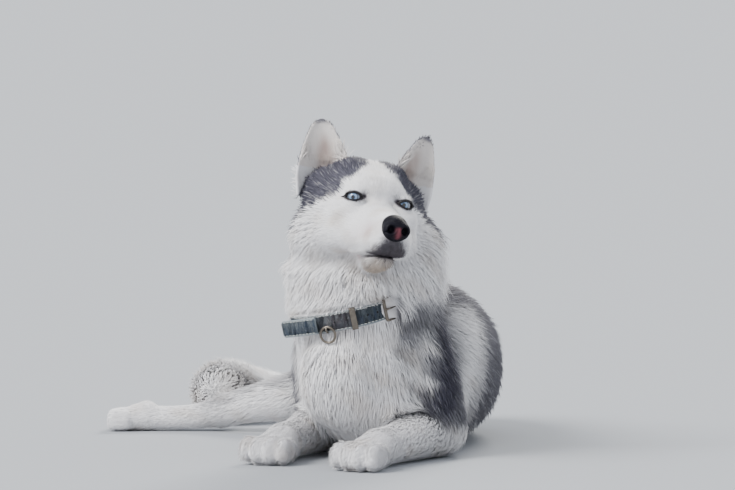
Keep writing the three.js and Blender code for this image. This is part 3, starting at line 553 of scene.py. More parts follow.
def net_surface(field, axes):
    """The zero surface of a field as quads, one corner in each cell that the surface crosses."""
    counts = [len(a) for a in axes]
    picks = [np.unique(np.append(np.arange(0, n, BLOCK), n - 1)) for n in counts]
    coarse = np.stack(np.meshgrid(*[a[i] for a, i in zip(axes, picks)], indexing="ij"), -1)
    rough = in_chunks(field, coarse.reshape(-1, 3)).reshape(coarse.shape[:3])
    spans = [np.diff(a[i]) for a, i in zip(axes, picks)]
    shapes = [[-1 if k == n else 1 for k in range(3)] for n in range(3)]
    diagonal = np.sqrt(sum(span.reshape(shape) ** 2 for span, shape in zip(spans, shapes)))
    corners = [rough[i:rough.shape[0] - 1 + i, j:rough.shape[1] - 1 + j, k:rough.shape[2] - 1 + k]
               for i in (0, 1) for j in (0, 1) for k in (0, 1)]
    crossed = np.min(np.abs(corners), axis=0) < 1.15 * diagonal
    block_of = [np.minimum(np.arange(n) // BLOCK, len(s) - 1) for n, s in zip(counts, spans)]
    inside = (corners[0] < 0)[np.ix_(*block_of)]
    wanted = crossed[np.ix_(*block_of)]
    for axis in range(3):
        back = np.roll(wanted, 1, axis)
        back[(slice(None),) * axis + (0,)] = False
        wanted |= back
    places = np.argwhere(wanted)
    points = np.stack([axes[k][places[:, k]] for k in range(3)], 1)
    inside[wanted] = in_chunks(field, points) < 0
    quads = []
    for axis in range(3):
        u, v = (axis + 1) % 3, (axis + 2) % 3
        low = [slice(None)] * 3
        high = [slice(None)] * 3
        low[axis] = slice(None, -1)
        high[axis] = slice(1, None)
        edge = np.argwhere(inside[tuple(low)] != inside[tuple(high)])
        edge = edge[(edge[:, u] > 0) & (edge[:, v] > 0)]
        outward = inside[tuple(edge.T)]
        ring = []
        for du, dv in ((0, 0), (-1, 0), (-1, -1), (0, -1)):
            cell = edge.copy()
            cell[:, u] += du
            cell[:, v] += dv
            ring.append(np.ravel_multi_index(tuple(cell.T), counts))
        ring = np.stack(ring, 1)
        quads.append(np.where(outward[:, None], ring, ring[:, ::-1]))
    quads = np.concatenate(quads)
    cells, quads = np.unique(quads, return_inverse=True)
    quads = quads.reshape(-1, 4)
    cell = np.stack(np.unravel_index(cells, counts), 1)
    middle = [(a[:-1] + a[1:]) / 2 for a in axes]
    points = np.stack([middle[k][np.minimum(cell[:, k], counts[k] - 2)] for k in range(3)], 1)
    return points, quads


def spread(quads, values, count):
    """For each corner, the sum over its quads of the values given for each quad's corners."""
    flat = quads.ravel()
    return np.stack([np.bincount(flat, values[:, :, k].ravel(), count) for k in range(values.shape[2])], 1)


def relax(points, quads, field, rounds):
    count = len(points)
    degree = np.bincount(quads.ravel(), minlength=count)[:, None] * 2
    for _ in range(rounds):
        sides = points[quads[:, [1, 2, 3, 0]]] + points[quads[:, [3, 0, 1, 2]]]
        points = points * 0.4 + 0.6 * spread(quads, sides, count) / degree
        here, slope = gradient(lambda x: in_chunks(field, x), points)
        move = here[:, None] * slope / np.maximum((slope**2).sum(1), 0.2)[:, None]
        points = points - move * np.minimum(1, 4 / np.maximum(length_of(move), 1e-6))[:, None]
    return points


def corner_normals(points, quads):
    p = points[quads]
    face = np.cross(p[:, 2] - p[:, 0], p[:, 3] - p[:, 1])
    return unit(spread(quads, np.repeat(face[:, None], 4, axis=1), len(points)))


def largest_part(points, quads):
    """Keeps the largest connected surface."""
    label = np.arange(len(points))
    while True:
        lowest = label[quads].min(1)
        new = label.copy()
        for k in range(4):
            np.minimum.at(new, quads[:, k], lowest)
        new = new[new]
        if np.array_equal(new, label):
            break
        label = new
    kept = label == np.bincount(label).argmax()
    number = np.cumsum(kept) - 1
    return points[kept], number[quads[kept[quads[:, 0]]]]


skin_points, skin_quads = net_surface(flesh, GRID)
skin_points, skin_quads = largest_part(skin_points, skin_quads)
skin_points = relax(skin_points, skin_quads, flesh, 4)
skin_normals = corner_normals(skin_points, skin_quads)
print("skin", len(skin_points), "corners", len(skin_quads), "quads")


# Mesh making.
def make_mesh(name, points, loops, sizes, material, smooth=True):
    """points in millimetres; loops the corners of every face in turn, and sizes each face's corner count."""
    mesh = bpy.data.meshes.new(name)
    mesh.vertices.add(len(points))
    mesh.vertices.foreach_set("co", (np.asarray(points) * MM).astype(np.float32).ravel())
    mesh.loops.add(len(loops))
    mesh.loops.foreach_set("vertex_index", np.asarray(loops, np.int32))
    mesh.polygons.add(len(sizes))
    starts = np.concatenate([[0], np.cumsum(sizes)[:-1]]).astype(np.int32)
    mesh.polygons.foreach_set("loop_start", starts)
    mesh.polygons.foreach_set("use_smooth", np.full(len(sizes), smooth))
    mesh.update(calc_edges=True)
    mesh.materials.append(material)
    made = bpy.data.objects.new(name, mesh)
    bpy.context.scene.collection.objects.link(made)
    return made


def give(mesh, name, values):
    attribute = mesh.attributes.new(name, "FLOAT", "POINT")
    attribute.data.foreach_set("value", np.asarray(values, np.float32))


def part(made, slot_name, replaced=()):
    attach(made, "root")
    if replaced:
        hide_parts(*replaced)
    return made


# Markings, from a point's place on the body. Each is a share from 0 to 1.
def wander(p, size, seed):
    """Smooth noise from -1 to 1, from a few crossing waves."""
    made = np.zeros(len(p))
    waves = np.random.default_rng(seed).normal(size=(6, 4))
    for wave in waves:
        made += np.sin(p @ (wave[:3] * 2 * math.pi / size * 0.6) + 6 * wave[3])
    return made / 3.2


EAR_FRONT_X = [36, 50, 69, 85, 93, 100]  # the line in front of each ear, above which the fur is pale
EAR_FRONT_Z = [92, 66, 40, 24, 5, -20]
HEAD_EDGE_Z = [-110, -70, -45, -33, -20, -6, 5, 20, 30, 40, 50, 58, 70]
HEAD_EDGE_TURN = [128, 118, 100, 84, 74, 60, 50, 43, 36, 28, 22, 18, 12]


def head_grey(q, jitter):
    """The mask and the crown, parted from the pale fur before each ear and inside it."""
    turn = np.degrees(np.arctan2(q[:, 0], 20 - q[:, 1]))
    edge = np.interp(q[:, 2], HEAD_EDGE_Z, HEAD_EDGE_TURN)
    above_line = q[:, 2] - np.interp(q[:, 0], EAR_FRONT_X, EAR_FRONT_Z)
    pale = ramp(above_line, -2, 7) * ramp(38 - q[:, 1], 0, 10) * ramp(q[:, 0], 36, 46)
    u, _, bend, radius, angle, reach, _ = ear_place(q)
    cup = inner_face(radius, reach) & (np.abs(angle) < 1.25 * bend) & (u > -0.42) & (q[:, 1] > -4)
    return ramp(turn - edge + jitter, -3, 5) * (1 - 0.95 * np.maximum(pale, cup * ramp(above_line, -4, 4)))


NECK_EDGE_Z = [215, 254, 310, 340]
NECK_EDGE_TURN = [38, 56, 74, 82]


def neck_grey(p, jitter):
    around = np.degrees(np.arctan2(p[:, 0] + 40, -(p[:, 1] + 62)))
    edge = np.interp(p[:, 2], NECK_EDGE_Z, NECK_EDGE_TURN)
    grey = np.maximum(ramp(around + 1.5 * jitter - edge, -8, 8), ramp(-around + jitter, 100, 118))
    return grey * (0.86 + 0.14 * ramp(np.abs(around), 90, 120))


BREAST_EDGE_Z = [60, 114, 156, 183, 215]
BREAST_EDGE_X = [36, 46, 60, 58, 22]
SHOULDER_EDGE_Z = [60, 114, 156, 200]
SHOULDER_EDGE_X = [40, 52, 70, 92]
SADDLE_GREY = 0.97


def trunk_grey(p, jitter):
    """The grey of the trunk with its dark and light bands, that of the shoulder alone, and each point's t."""
    t, w, h, _, size = trunk.locate(p)
    rise = np.degrees(np.arctan2(h / size[:, 1], np.abs(w / size[:, 0])))
    z = p[:, 2]
    lean = (z - 60) / 140 * 0.07
    front = ramp(t - lean + 0.006 * jitter, 0.10, 0.16)
    dark_band = bell(t - lean, 0.19, 0.055)
    light_band = bell(t - lean, 0.335, 0.062) * (1 - ramp(rise, 30, 52))
    grey = front * (0.62 + 0.5 * dark_band) * (1 - 0.92 * light_band)
    grey = np.maximum(grey, SADDLE_GREY * ramp(t, 0.4, 0.46) * (1 - 0.75 * light_band))
    breast_edge = np.interp(z, BREAST_EDGE_Z, BREAST_EDGE_X)
    shoulder = ramp(p[:, 0] - breast_edge + 0.8 * jitter, -6, 12)
    shoulder = shoulder * (1 - ramp(p[:, 1], 40, 90)) * ramp(z, 40, 66)
    shoulder_edge = np.interp(z, SHOULDER_EDGE_Z, SHOULDER_EDGE_X)
    shoulder = shoulder * (0.5 + 0.45 * ramp(p[:, 0] - shoulder_edge + jitter, -6, 16))
    grey = np.maximum(grey, shoulder * (1 - 0.9 * light_band))
    grey *= ramp(rise + 3 * jitter, -66, -48)
    grey = np.maximum(grey, SADDLE_GREY * ramp(rise, 34, 54) * ramp(t, 0.02, 0.14))
    return grey, shoulder, t


BODY_FORMS = ["trunk", "neck", "tail"] + list(arms) + list(legs) + list(feet) + list(PAWS)
FORM_SOFTNESS = 9  # in millimetres, how gradually the share of one form gives way to the next


def form_shares(p):
    """How much of each point belongs to each form of the body."""
    gaps = np.stack([forms[n].distance(p) for n in BODY_FORMS], 1)
    share = np.exp(-(gaps - gaps.min(1, keepdims=True)) / FORM_SOFTNESS)
    share /= share.sum(1, keepdims=True)
    return dict(zip(BODY_FORMS, share.T))


def dark_skin_and_shade(p, q):
    """The lips, their dark front under the nose, the line of the mouth, and the skin round the eye, with
    painted shade under the brow in a patch above its inner corner.
    """
    off_line = q[:, 2] - mouth_height(q[:, 1])
    lips = ramp(-q[:, 1], 98, 118) * bell(off_line, 1.5, 5.5) * ramp(-q[:, 1], 104, 122)
    front_half = 13 + 11 * ramp(-q[:, 2], 44, 64)
    front = 0.95 * ramp(-q[:, 1], 108, 132) * ramp(-q[:, 2], 38, 48) * ramp(off_line, -8, -1)
    front *= ramp(front_half - q[:, 0] + 3 * wander(p, 11, 31) + 3 * wander(p, 5, 32), -9, 6)
    slit = ramp(-q[:, 1], 76, 96) * bell(off_line, 0, 1.8)
    out, up, ahead = eye_offsets(q)
    liner = np.sqrt((out / (EYE_HALF[0] + 3)) ** 2 + (up / (EYE_HALF[1] + 2.4)) ** 2)
    # Above the inner corner: dark skin, darkened further by painted shade under the brow.
    inner_corner_skin_and_shade = 1.15 * bell(out, -EYE_HALF[0] - 2.6, 4.6) * bell(up, 2.2, 5.2)
    outer_corner = bell(out, EYE_HALF[0] + 3, 6) * bell(up, 0, 2.4)
    eye = np.maximum(ramp(1.15 - liner, 0, 0.2), inner_corner_skin_and_shade + outer_corner) * (ahead > 0)
    return np.maximum.reduce([lips, front, slit, eye])


def markings(p):
    """Grey, cream, dark skin and pink shares at points of the coat's roots or of the skin. The cream holds
    painted shade under the tail's end, the grey painted shade under the jaw, and the dark skin painted shade
    above each eye's inner corner.
    """
    local = to_head(p)
    q = mirrored(local)
    z = p[:, 2]
    on_head = ramp(local[:, 2] - 0.35 * local[:, 1], -112, -78) * (length_of(local) < 190)
    jitter = 5 * wander(p, 26, 3)
    grey, shoulder, trunk_t = trunk_grey(p, jitter)

    place = form_shares(p)
    limb_white = sum(place[n] for n in BODY_FORMS if "forearm" in n or "paw" in n or "foot" in n)
    shanks = place["shank_left"] + place["shank_right"]
    thighs = place["thigh_left"] + place["thigh_right"]
    _, _, shank_h, _, shank_size = forms["shank_right"].locate(p)
    shank_top = ramp(shank_h / shank_size[:, 1] + 0.05 * jitter, 0.25, 0.85)
    grey = grey * (1 - limb_white) * (1 - shanks) * (1 - thighs) * (1 - place["tail"])
    grey += shanks * 0.5 * shank_top * (p[:, 0] < -80)
    grey += thighs * (0.5 * ramp(z + 2 * jitter, 60, 110))
    tail_t, _, tail_h, _, _ = tail.locate(p)
    grey += place["tail"] * 0.7 * (1 - ramp(tail_t, 0.1, 0.45)) * ramp(tail_h + jitter, -6, 14)
    arm_share = place["upper_arm_left"] + place["upper_arm_right"]
    grey = np.where(arm_share > 0.3, np.maximum(grey, shoulder), grey)
    grey = grey * (1 - arm_share * (1 - ramp(z + jitter, 30, 66)))
    grey = 0.96 * (grey * (1 - place["neck"]) + neck_grey(p, jitter) * place["neck"])
    grey = grey * (1 - on_head) + head_grey(q, jitter) * on_head

    cream_and_shade = 0.22 * ramp(wander(p, 44, 9), 0.1, 0.9)
    chest = place["trunk"] * ramp(0.2 - trunk_t, 0, 0.12) + place["neck"]
    cream_and_shade += 0.2 * chest * ramp(wander(p * [1, 1, 3.0], 50, 5), 0.25, 0.9)
    # Painted shade: the underside of the tail's end, next to the leg, is tinted cream and brown.
    cream_and_shade += 0.55 * place["tail"] * ramp(tail_t, 0.5, 0.8) * ramp(p[:, 0] + 236, 0, 30) * ramp(52 - z, 0, 20)
    # The chin is cream and brown fur; the grey added to it is painted shade under the jaw.
    chin = on_head * bell(q[:, 2], -86, 13) * ramp(-q[:, 1], 60, 90)
    cream_and_shade += 1.1 * chin
    grey = np.maximum(grey, 0.3 * chin * (1 + wander(p, 9, 43)))

    dark = on_head * dark_skin_and_shade(p, q)
    off_line = q[:, 2] - mouth_height(q[:, 1])
    pink = on_head * bell(q[:, 1], -66, 9) * bell(off_line, -1, 6) * ramp(q[:, 0], 14, 24)
    muzzle_side = bell(q[:, 1], -118, 16) * bell(q[:, 2], -36, 12) * ramp(q[:, 0], 12, 20)
    pink += 0.35 * on_head * muzzle_side

    u, _, bend, radius, angle, reach, _ = ear_place(q)
    ears = on_head * (ear_distance(q) < 7) * ramp(q[:, 2], 44, 54)
    within = ears * inner_face(radius, reach)
    streak = bell(angle / bend, -0.1, 0.34) * ramp(0.86 - u, 0, 0.4) * (0.75 + 0.25 * wander(p, 14, 41))
    grey = np.where(ears > 0, np.where(within > 0, 0.9 * ramp(u, 0.9, 0.97), 0.95), grey)
    grey = np.where(within > 0, np.maximum(grey, 0.42 * streak), grey)
    cream_and_shade = np.where(within > 0, 0.4 + 0.5 * streak, cream_and_shade)
    pink = np.where(within > 0, 0.3 * streak, pink)
    made = {"grey": grey, "cream_and_shade": cream_and_shade, "dark": dark, "pink": pink}
    return {name: np.clip(values, 0, 1) for name, values in made.items()}


# Materials. Colours are linear.
def rgb(red, green, blue):
    """A linear colour from one as it is seen on screen, from 0 to 255."""
    return tuple((c / 255) ** 2.2 for c in (red, green, blue)) + (1.0,)


class Look:
    """A material and its node tree, with short names for what is made over and over."""

    def __init__(self, name, colour, roughness, metallic=0.0, specular=0.5):
        self.material = bpy.data.materials.new(name)
        self.material.use_nodes = True
        self.material.diffuse_color = colour
        self.tree = self.material.node_tree
        self.shader = self.tree.nodes["Principled BSDF"]
        self.shader.inputs["Base Color"].default_value = colour
        self.shader.inputs["Roughness"].default_value = roughness
        self.shader.inputs["Metallic"].default_value = metallic
        self.shader.inputs["Specular IOR Level"].default_value = specular

    def node(self, kind, **inputs):
        made = self.tree.nodes.new("ShaderNode" + kind)
        for key, value in inputs.items():
            socket = made.inputs[int(key[1:]) if key[1:].isdigit() else key]
            if isinstance(value, bpy.types.NodeSocket):
                self.tree.links.new(value, socket)
            else:
                socket.default_value = value
        return made

    def mask(self, name):
        made = self.tree.nodes.new("ShaderNodeAttribute")
        made.attribute_name = name
        return made.outputs["Fac"]

    def maths(self, operation, a, b=0.0, c=0.0, clamp=False):
        made = self.node("Math", _0=a, _1=b, _2=c)
        made.operation = operation
        made.use_clamp = clamp
        return made.outputs[0]

    def mix(self, share, a, b):
        made = self.tree.nodes.new("ShaderNodeMix")
        made.data_type = "RGBA"
        for socket, value in ((0, share), (6, a), (7, b)):
            if isinstance(value, bpy.types.NodeSocket):
                self.tree.links.new(value, made.inputs[socket])
            else:
                made.inputs[socket].default_value = value
        return made.outputs[2]

    def noise(self, scale, vector, detail=2.0):
        made = self.node("TexNoise", Scale=scale, Detail=detail, Vector=vector)
        return made.outputs["Fac"]

    def vector(self, x, y, z=0.0):
        return self.node("CombineXYZ", X=x, Y=y, Z=z).outputs[0]

    def place(self):
        return self.tree.nodes.new("ShaderNodeTexCoord").outputs["Object"]

    def colour(self, socket):
        self.tree.links.new(socket, self.shader.inputs["Base Color"])

    def bump(self, height, strength, distance):
        made = self.node("Bump", Strength=strength, Distance=distance, Height=height)
        self.tree.links.new(made.outputs[0], self.shader.inputs["Normal"])


WHITE_TIP = rgb(250, 249, 250)
# The white's root is a little darker than its tip: painted shade deep in the coat.
SHADED_WHITE_ROOT = rgb(240, 239, 242)
GREY_TIP = rgb(54, 53, 64)
GREY_ROOT = rgb(100, 99, 111)
GREY_DARK = rgb(38, 38, 50)
CREAM = rgb(230, 216, 198)
BROWN = rgb(158, 136, 118)
DARK_SKIN = rgb(22, 18, 24)
DARK_HAIR = rgb(66, 59, 69)
PINK_SKIN = rgb(186, 142, 138)


def coat_look(name, on_skin):
    """White or grey hair by the masks. A tuft darkens or lightens along its length and from tuft to tuft; the
    white's darker root is painted shade deep in the coat.
    """
    look = Look(name, WHITE_TIP, 0.72, specular=0.25)
    along = look.mask("along")
    tuft = look.mask("tuft")
    strand = look.vector(look.maths("MULTIPLY", look.mask("over"), 3.2), look.maths("MULTIPLY", along, 0.8),
                         look.maths("MULTIPLY", tuft, 90.0))
    hairs = look.noise(1.4, strand, 3.0)
    # Painted shade: white hair darkens towards its root.
    white = look.mix(look.maths("POWER", along, 0.6), SHADED_WHITE_ROOT, WHITE_TIP)
    # Cream and brown hair, whose mask also paints shade under the tail's end.
    cream_and_shade = look.mix(look.noise(40.0, strand, 1.0), CREAM, BROWN)
    white = look.mix(look.mask("cream_and_shade"), white, cream_and_shade)
    grey = look.mix(look.maths("POWER", along, 1.2), GREY_ROOT, GREY_TIP)
    darker = look.maths("MULTIPLY", look.maths("GREATER_THAN", tuft, 0.62), along)
    grey = look.mix(look.maths("MULTIPLY", darker, 0.85), grey, GREY_DARK)
    lighter = look.maths("MULTIPLY", look.maths("LESS_THAN", tuft, 0.1), 0.2)
    grey = look.mix(lighter, grey, SHADED_WHITE_ROOT)
    made = look.mix(look.mask("grey"), white, grey)
    made = look.mix(look.mask("pink"), made, PINK_SKIN)
    # The dark skin's colour, which also carries the painted shade above the eye's inner corner.
    dark_skin_and_shade = look.mix(look.noise(210.0, look.place(), 3.0), DARK_SKIN, DARK_HAIR)
    made = look.mix(look.mask("dark"), made, dark_skin_and_shade)
    if on_skin:
        shade = look.maths("MULTIPLY_ADD", look.noise(900.0, look.place(), 3.0), 0.16, 0.86)
    else:
        shade = look.maths("MULTIPLY_ADD", hairs, 0.2, 0.84)
        shade = look.maths("ADD", shade, look.maths("MULTIPLY", tuft, 0.09))
    tinted = look.node("VectorMath", _0=made, _1=shade)
    tinted.operation = "MULTIPLY"
    look.colour(tinted.outputs[0])
    height = look.noise(420.0, look.place(), 3.0) if on_skin else hairs
    look.bump(height, 0.35, 0.0008)
    return look.material


skin_material = coat_look("skin", True)
coat_material = coat_look("coat", False)


# The unwrap: every form has its own chart, and the head is laid out flat round the nose.
CHARTS = {
    "trunk": (0.00, 0.00, 0.50, 0.40), "neck": (0.00, 0.42, 0.50, 0.22), "tail": (0.00, 0.66, 0.50, 0.16),
    "thigh_right": (0.52, 0.50, 0.23, 0.12), "thigh_left": (0.77, 0.50, 0.22, 0.12),
    "upper_arm_left": (0.52, 0.64, 0.15, 0.12), "upper_arm_right": (0.69, 0.64, 0.15, 0.12),
    "forearm_left": (0.52, 0.78, 0.15, 0.09), "forearm_right": (0.69, 0.78, 0.15, 0.09),
    "shank_left": (0.52, 0.89, 0.15, 0.09), "shank_right": (0.69, 0.89, 0.15, 0.09),
    "hind_foot_left": (0.86, 0.64, 0.13, 0.06), "hind_foot_right": (0.86, 0.72, 0.13, 0.06),
    "forepaw_left": (0.86, 0.80, 0.06, 0.08), "forepaw_right": (0.93, 0.80, 0.06, 0.08),
    "hind_paw_left": (0.86, 0.90, 0.06, 0.08), "hind_paw_right": (0.93, 0.90, 0.06, 0.08),
}
HEAD_CHART = (0.76, 0.25, 0.23)  # middle and radius
EAR_CHARTS = {(1, 0): (0.00, 0.84), (-1, 0): (0.12, 0.84), (1, 1): (0.24, 0.84), (-1, 1): (0.36, 0.84)}
EAR_CHART_SIZE = (0.11, 0.14)
ON_HEAD = -1
EAR_CHART = -2


def chart_of(p):
    """For each point, the number of its chart, ON_HEAD or EAR_CHART."""
    names = list(CHARTS)
    gaps = np.stack([forms[n].distance(p) for n in names], 1)
    local = to_head(p)
    q = mirrored(local)
    head_gap = np.full(len(p), FAR)
    near = length_of(local) < 200
    head_gap[near] = head_distance(local[near])
    ear = (ear_distance(q) < 4) & (q[:, 2] > 46)
    on_head = (head_gap < gaps.min(1)) | (local[:, 2] > 0) & near
    return np.where(ear, EAR_CHART, np.where(on_head, ON_HEAD, gaps.argmin(1)))


def unwrapped(p, chart):
    """The place of each point in the unit square, in the chart that is given for it."""
    made = np.zeros((len(p), 2))
    for number, (name, (x, y, width, height)) in enumerate(CHARTS.items()):
        mine = chart == number
        if mine.any():
            t, w, h, past, size = forms[name].locate(p[mine])
            turn = np.arctan2(h / size[:, 1], w / size[:, 0]) / (2 * math.pi) + 0.5
            t = 0.08 + 0.84 * t + 0.06 * np.tanh(past / size.min(1))
            made[mine] = np.stack([x + t * width, y + (0.02 + 0.96 * turn) * height], 1)
    mine = chart == ON_HEAD
    if mine.any():
        d = unit(to_head(p[mine]) - [0, -20, -10])
        polar = np.arccos(np.clip(-d[:, 1], -1, 1)) / math.pi
        spin = np.arctan2(d[:, 2], d[:, 0])
        middle_x, middle_y, radius = HEAD_CHART
        off = radius * polar
        made[mine] = np.stack([middle_x + off * np.cos(spin), middle_y + off * np.sin(spin)], 1)
    mine = chart == EAR_CHART
    if mine.any():
        local = to_head(p[mine])
        side = np.where(local[:, 0] < 0, -1, 1)
        u, _, bend, radius, angle, reach, _ = ear_place(mirrored(local))
        inner = inner_face(radius, reach).astype(int)
        corner = np.array([EAR_CHARTS[(int(s), int(i))] for s, i in zip(side, inner)])
        at = np.stack([0.5 + 0.42 * np.clip(angle / bend, -1, 1), 0.05 + 0.9 * np.clip(u, 0, 1)], 1)
        made[mine] = corner + at * EAR_CHART_SIZE
    return made


def skin_uv(points, quads):
    """Every face lies in one chart, and where it crosses the seam of a tube it runs on past the edge."""
    centre = points[quads].mean(1)
    chart = in_chunks(chart_of, centre)
    flat = points[quads].reshape(-1, 3)
    uv = unwrapped(flat, np.repeat(chart, 4)).reshape(-1, 4, 2)
    heights = np.array([c[3] for c in CHARTS.values()])
    tube = chart >= 0
    turn = 0.96 * heights[chart[tube]][:, None]
    v = uv[tube][:, :, 1]
    v = np.where(v.max(1, keepdims=True) - v > turn / 2, v + turn, v)
    uv[tube, :, 1] = v
    return uv.reshape(-1, 2)


def add_uv(made, uv):
    layer = made.data.uv_layers.new(name="OFBake")
    layer.uv.foreach_set("vector", np.clip(uv, 0, 1).astype(np.float32).ravel())


FLESH_NODES = ["head", "ear_left", "ear_right", "neck", "chest", "barrel", "rump", "tail_base", "tail_end"]
LIMBS = ["upper_arm", "forearm", "forepaw", "thigh", "shank", "hind_foot", "hind_paw"]
FLESH_NODES += [f"{limb}_{side}" for side in SIDES for limb in LIMBS]

skin_masks = markings(skin_points)
skin = make_mesh("skin", skin_points, skin_quads.ravel(), np.full(len(skin_quads), 4), skin_material)
for name, values in skin_masks.items():
    give(skin.data, name, values)
give(skin.data, "along", np.zeros(len(skin_points)))
give(skin.data, "tuft", np.full(len(skin_points), 0.4))
give(skin.data, "over", np.zeros(len(skin_points)))
add_uv(skin, skin_uv(skin_points, skin_quads))
part(skin, "coat_white", FLESH_NODES)


# The coat. A guide grid holds the distance to the skin, so that tufts can follow it.
GUIDE_STEP = 8.0
guide_low = np.array([-480.0, -310.0, -12.0])
guide_counts = np.ceil((np.array([212.0, 600.0, 505.0]) - guide_low) / GUIDE_STEP).astype(int)
guide_axes = [guide_low[k] + GUIDE_STEP * np.arange(guide_counts[k]) for k in range(3)]
guide_points = np.stack(np.meshgrid(*guide_axes, indexing="ij"), -1).reshape(-1, 3)
guide = in_chunks(lambda p: flesh(p, False), guide_points).reshape(guide_counts)
guide_slope = np.stack(np.gradient(guide, GUIDE_STEP), -1)
guide = np.concatenate([guide[..., None], guide_slope], -1)


def above_skin(p):
    """The distance to the skin and its slope, read off the guide grid."""
    at = np.clip((p - guide_low) / GUIDE_STEP, 0, guide_counts - 1.001)
    i = at.astype(int)
    f = at - i
    made = 0
    for corner in range(8):
        bits = [(corner >> k) & 1 for k in range(3)]
        weight = np.prod([f[:, k] if bits[k] else 1 - f[:, k] for k in range(3)], axis=0)
        made = made + weight[:, None] * guide[i[:, 0] + bits[0], i[:, 1] + bits[1], i[:, 2] + bits[2]]
    return made[:, 0], unit(made[:, 1:])


# How the coat grows on each form: the share of the form's own direction in its lie, what is added to that,
# then a tuft's length and width, the spacing of the roots, and how steeply a short tuft leaves the skin.
ARM_COAT = (1.0, (0, 0.2, -0.3), 29, 1.5, 2.65, 0.5)
FOREARM_COAT = (1.0, (0, 0, -0.3), 19, 1.3, 2.3, 0.4)
SHANK_COAT = (1.0, (0, 0, -0.3), 20, 1.4, 2.6, 0.4)
FOOT_COAT = (1.0, (0, 0, -0.2), 12, 1.15, 1.95, 0.4)
PAW_HAIR = (1.0, (0, 0, -0.3), 10, 1.05, 1.75, 0.42)
COAT = {
    "trunk": (1.0, (0, 0, -0.75), 36, 1.65, 3.05, 0.6),
    "neck": (0.0, (0, 0.3, -1), 36, 1.35, 2.45, 0.6),
    "tail": (1.0, (0, 0, 0), 26, 1.7, 1.9, 0.45),
    "thigh_left": (1.0, (0, 0, -0.4), 30, 1.8, 3.4, 0.5),
    "thigh_right": (1.0, (0, 0, -0.5), 32, 1.6, 2.9, 0.5),
}
LIMB_COAT = {
    "upper_arm_": ARM_COAT, "forearm_": FOREARM_COAT, "shank_": SHANK_COAT,
    "hind_foot_": FOOT_COAT, "forepaw_": PAW_HAIR, "hind_paw_": PAW_HAIR,
}
for side in SIDES:
    COAT.update({limb + side: sizes for limb, sizes in LIMB_COAT.items()})


HAIR_LENGTHS = [4, 8, 14, 30, 44]  # the lengths at which the head's spacing and width of tufts are given


def head_coat(local):
    """The lie of the head's coat, and its length, width, spacing and lift, in the head's frame."""
    q = mirrored(local)
    side = np.sign(local[:, 0])[:, None]
    lie = unit(local - [0, -172, -34])
    low = ramp(-q[:, 2], 8, 62)[:, None]
    back = ramp(q[:, 1], -62, 0)[:, None]
    lie = lie + back * low * (side * [0.35, 0, 0] + [0, 0.1, -1.3])
    top = ramp(q[:, 2], 24, 52)[:, None]
    lie = lie + top * np.array([0, 0.5, 0.35])
    out, up, _ = eye_offsets(q)
    from_eye = np.hypot(out / 1.4, up)
    flow = local - (side * [EYE[0], 0, 0] + [0, EYE[1], EYE[2]])
    lie = lie + 1.3 * bell(from_eye, 0, 13)[:, None] * unit(flow)
    throat = (ramp(-q[:, 2], 66, 92) * ramp(q[:, 1], -150, -70))[:, None]
    lie = lie + throat * np.array([0, 0.3, -1.2])
    cheek = ramp(q[:, 1], -56, 10) * ramp(q[:, 0], 44, 84)
    ruff = ramp(q[:, 1], -36, 24) * ramp(-q[:, 2], 34, 82)
    jaw = ramp(-q[:, 2], 74, 92)
    chin = bell(q[:, 2], -84, 12) * ramp(-q[:, 1], 74, 100)
    length = 5.2 + 4.0 * ramp(q[:, 1], -128, -62) + 8 * cheek + 20 * ruff
    length = length + 13 * jaw * ramp(q[:, 1], -140, -70)
    length += 5 * ramp(q[:, 1], -44, 10) * ramp(q[:, 2], 30, 60) + 12 * chin
    length *= 1 - 0.5 * bell(from_eye, 0, 14)
    spacing = np.interp(length, HAIR_LENGTHS, [1.3, 1.55, 2.0, 2.4, 2.65])
    width = np.interp(length, HAIR_LENGTHS, [0.75, 0.9, 1.2, 1.7, 1.9])
    lift = 0.28 + 0.12 * cheek + 0.2 * ruff + 0.1 * jaw + 0.06 * top[:, 0] + 0.55 * chin
    return unit(lie), length, width, spacing, lift


def ear_coat(local):
    """The coat of the ears: short and flat behind, long and loose inside from the root and the inner edge."""
    side = np.where(local[:, 0] < 0, -1.0, 1.0)
    rise = unit(EAR_TIP - EAR_ROOT)
    outward = across(EAR_SPREAD, rise)
    u, _, bend, radius, angle, reach, _ = ear_place(mirrored(local))
    inner = inner_face(radius, reach)
    edge = angle / bend
    fluff = inner * (ramp(-edge, 0.25, 0.8) * 0.9 + ramp(0.35 - u, 0, 0.3) + 0.5 * ramp(edge, 0.4, 0.9))
    fluff = np.clip(fluff, 0, 1) * (1 - ramp(u, 0.36, 0.6))
    lie = rise - np.where(inner, edge * (0.1 + 0.4 * fluff), -0.15 * edge)[:, None] * outward
    lie = lie + (fluff * 0.5)[:, None] * np.array([0, -1, 0])
    lie = lie * np.stack([side, np.ones_like(side), np.ones_like(side)], 1)
    length = np.where(inner, 4.8 + 22 * fluff, 7.5 + 3 * ramp(0.3 - u, 0, 0.3))
    lift = np.where(inner, 0.16 + 0.22 * fluff, 0.18)
    width = np.where(inner, 0.85 + 0.5 * fluff, 0.95)
    return unit(lie), length, width, np.where(inner, 1.6, 1.5), lift


HEAD_HAIR_REACH = 210
COAT_SOFTNESS = 8  # how gradually the coat of one form gives way to the next's
LEDGE_PUSH = 0.9  # how far the lie turns outwards at the strap's top edge


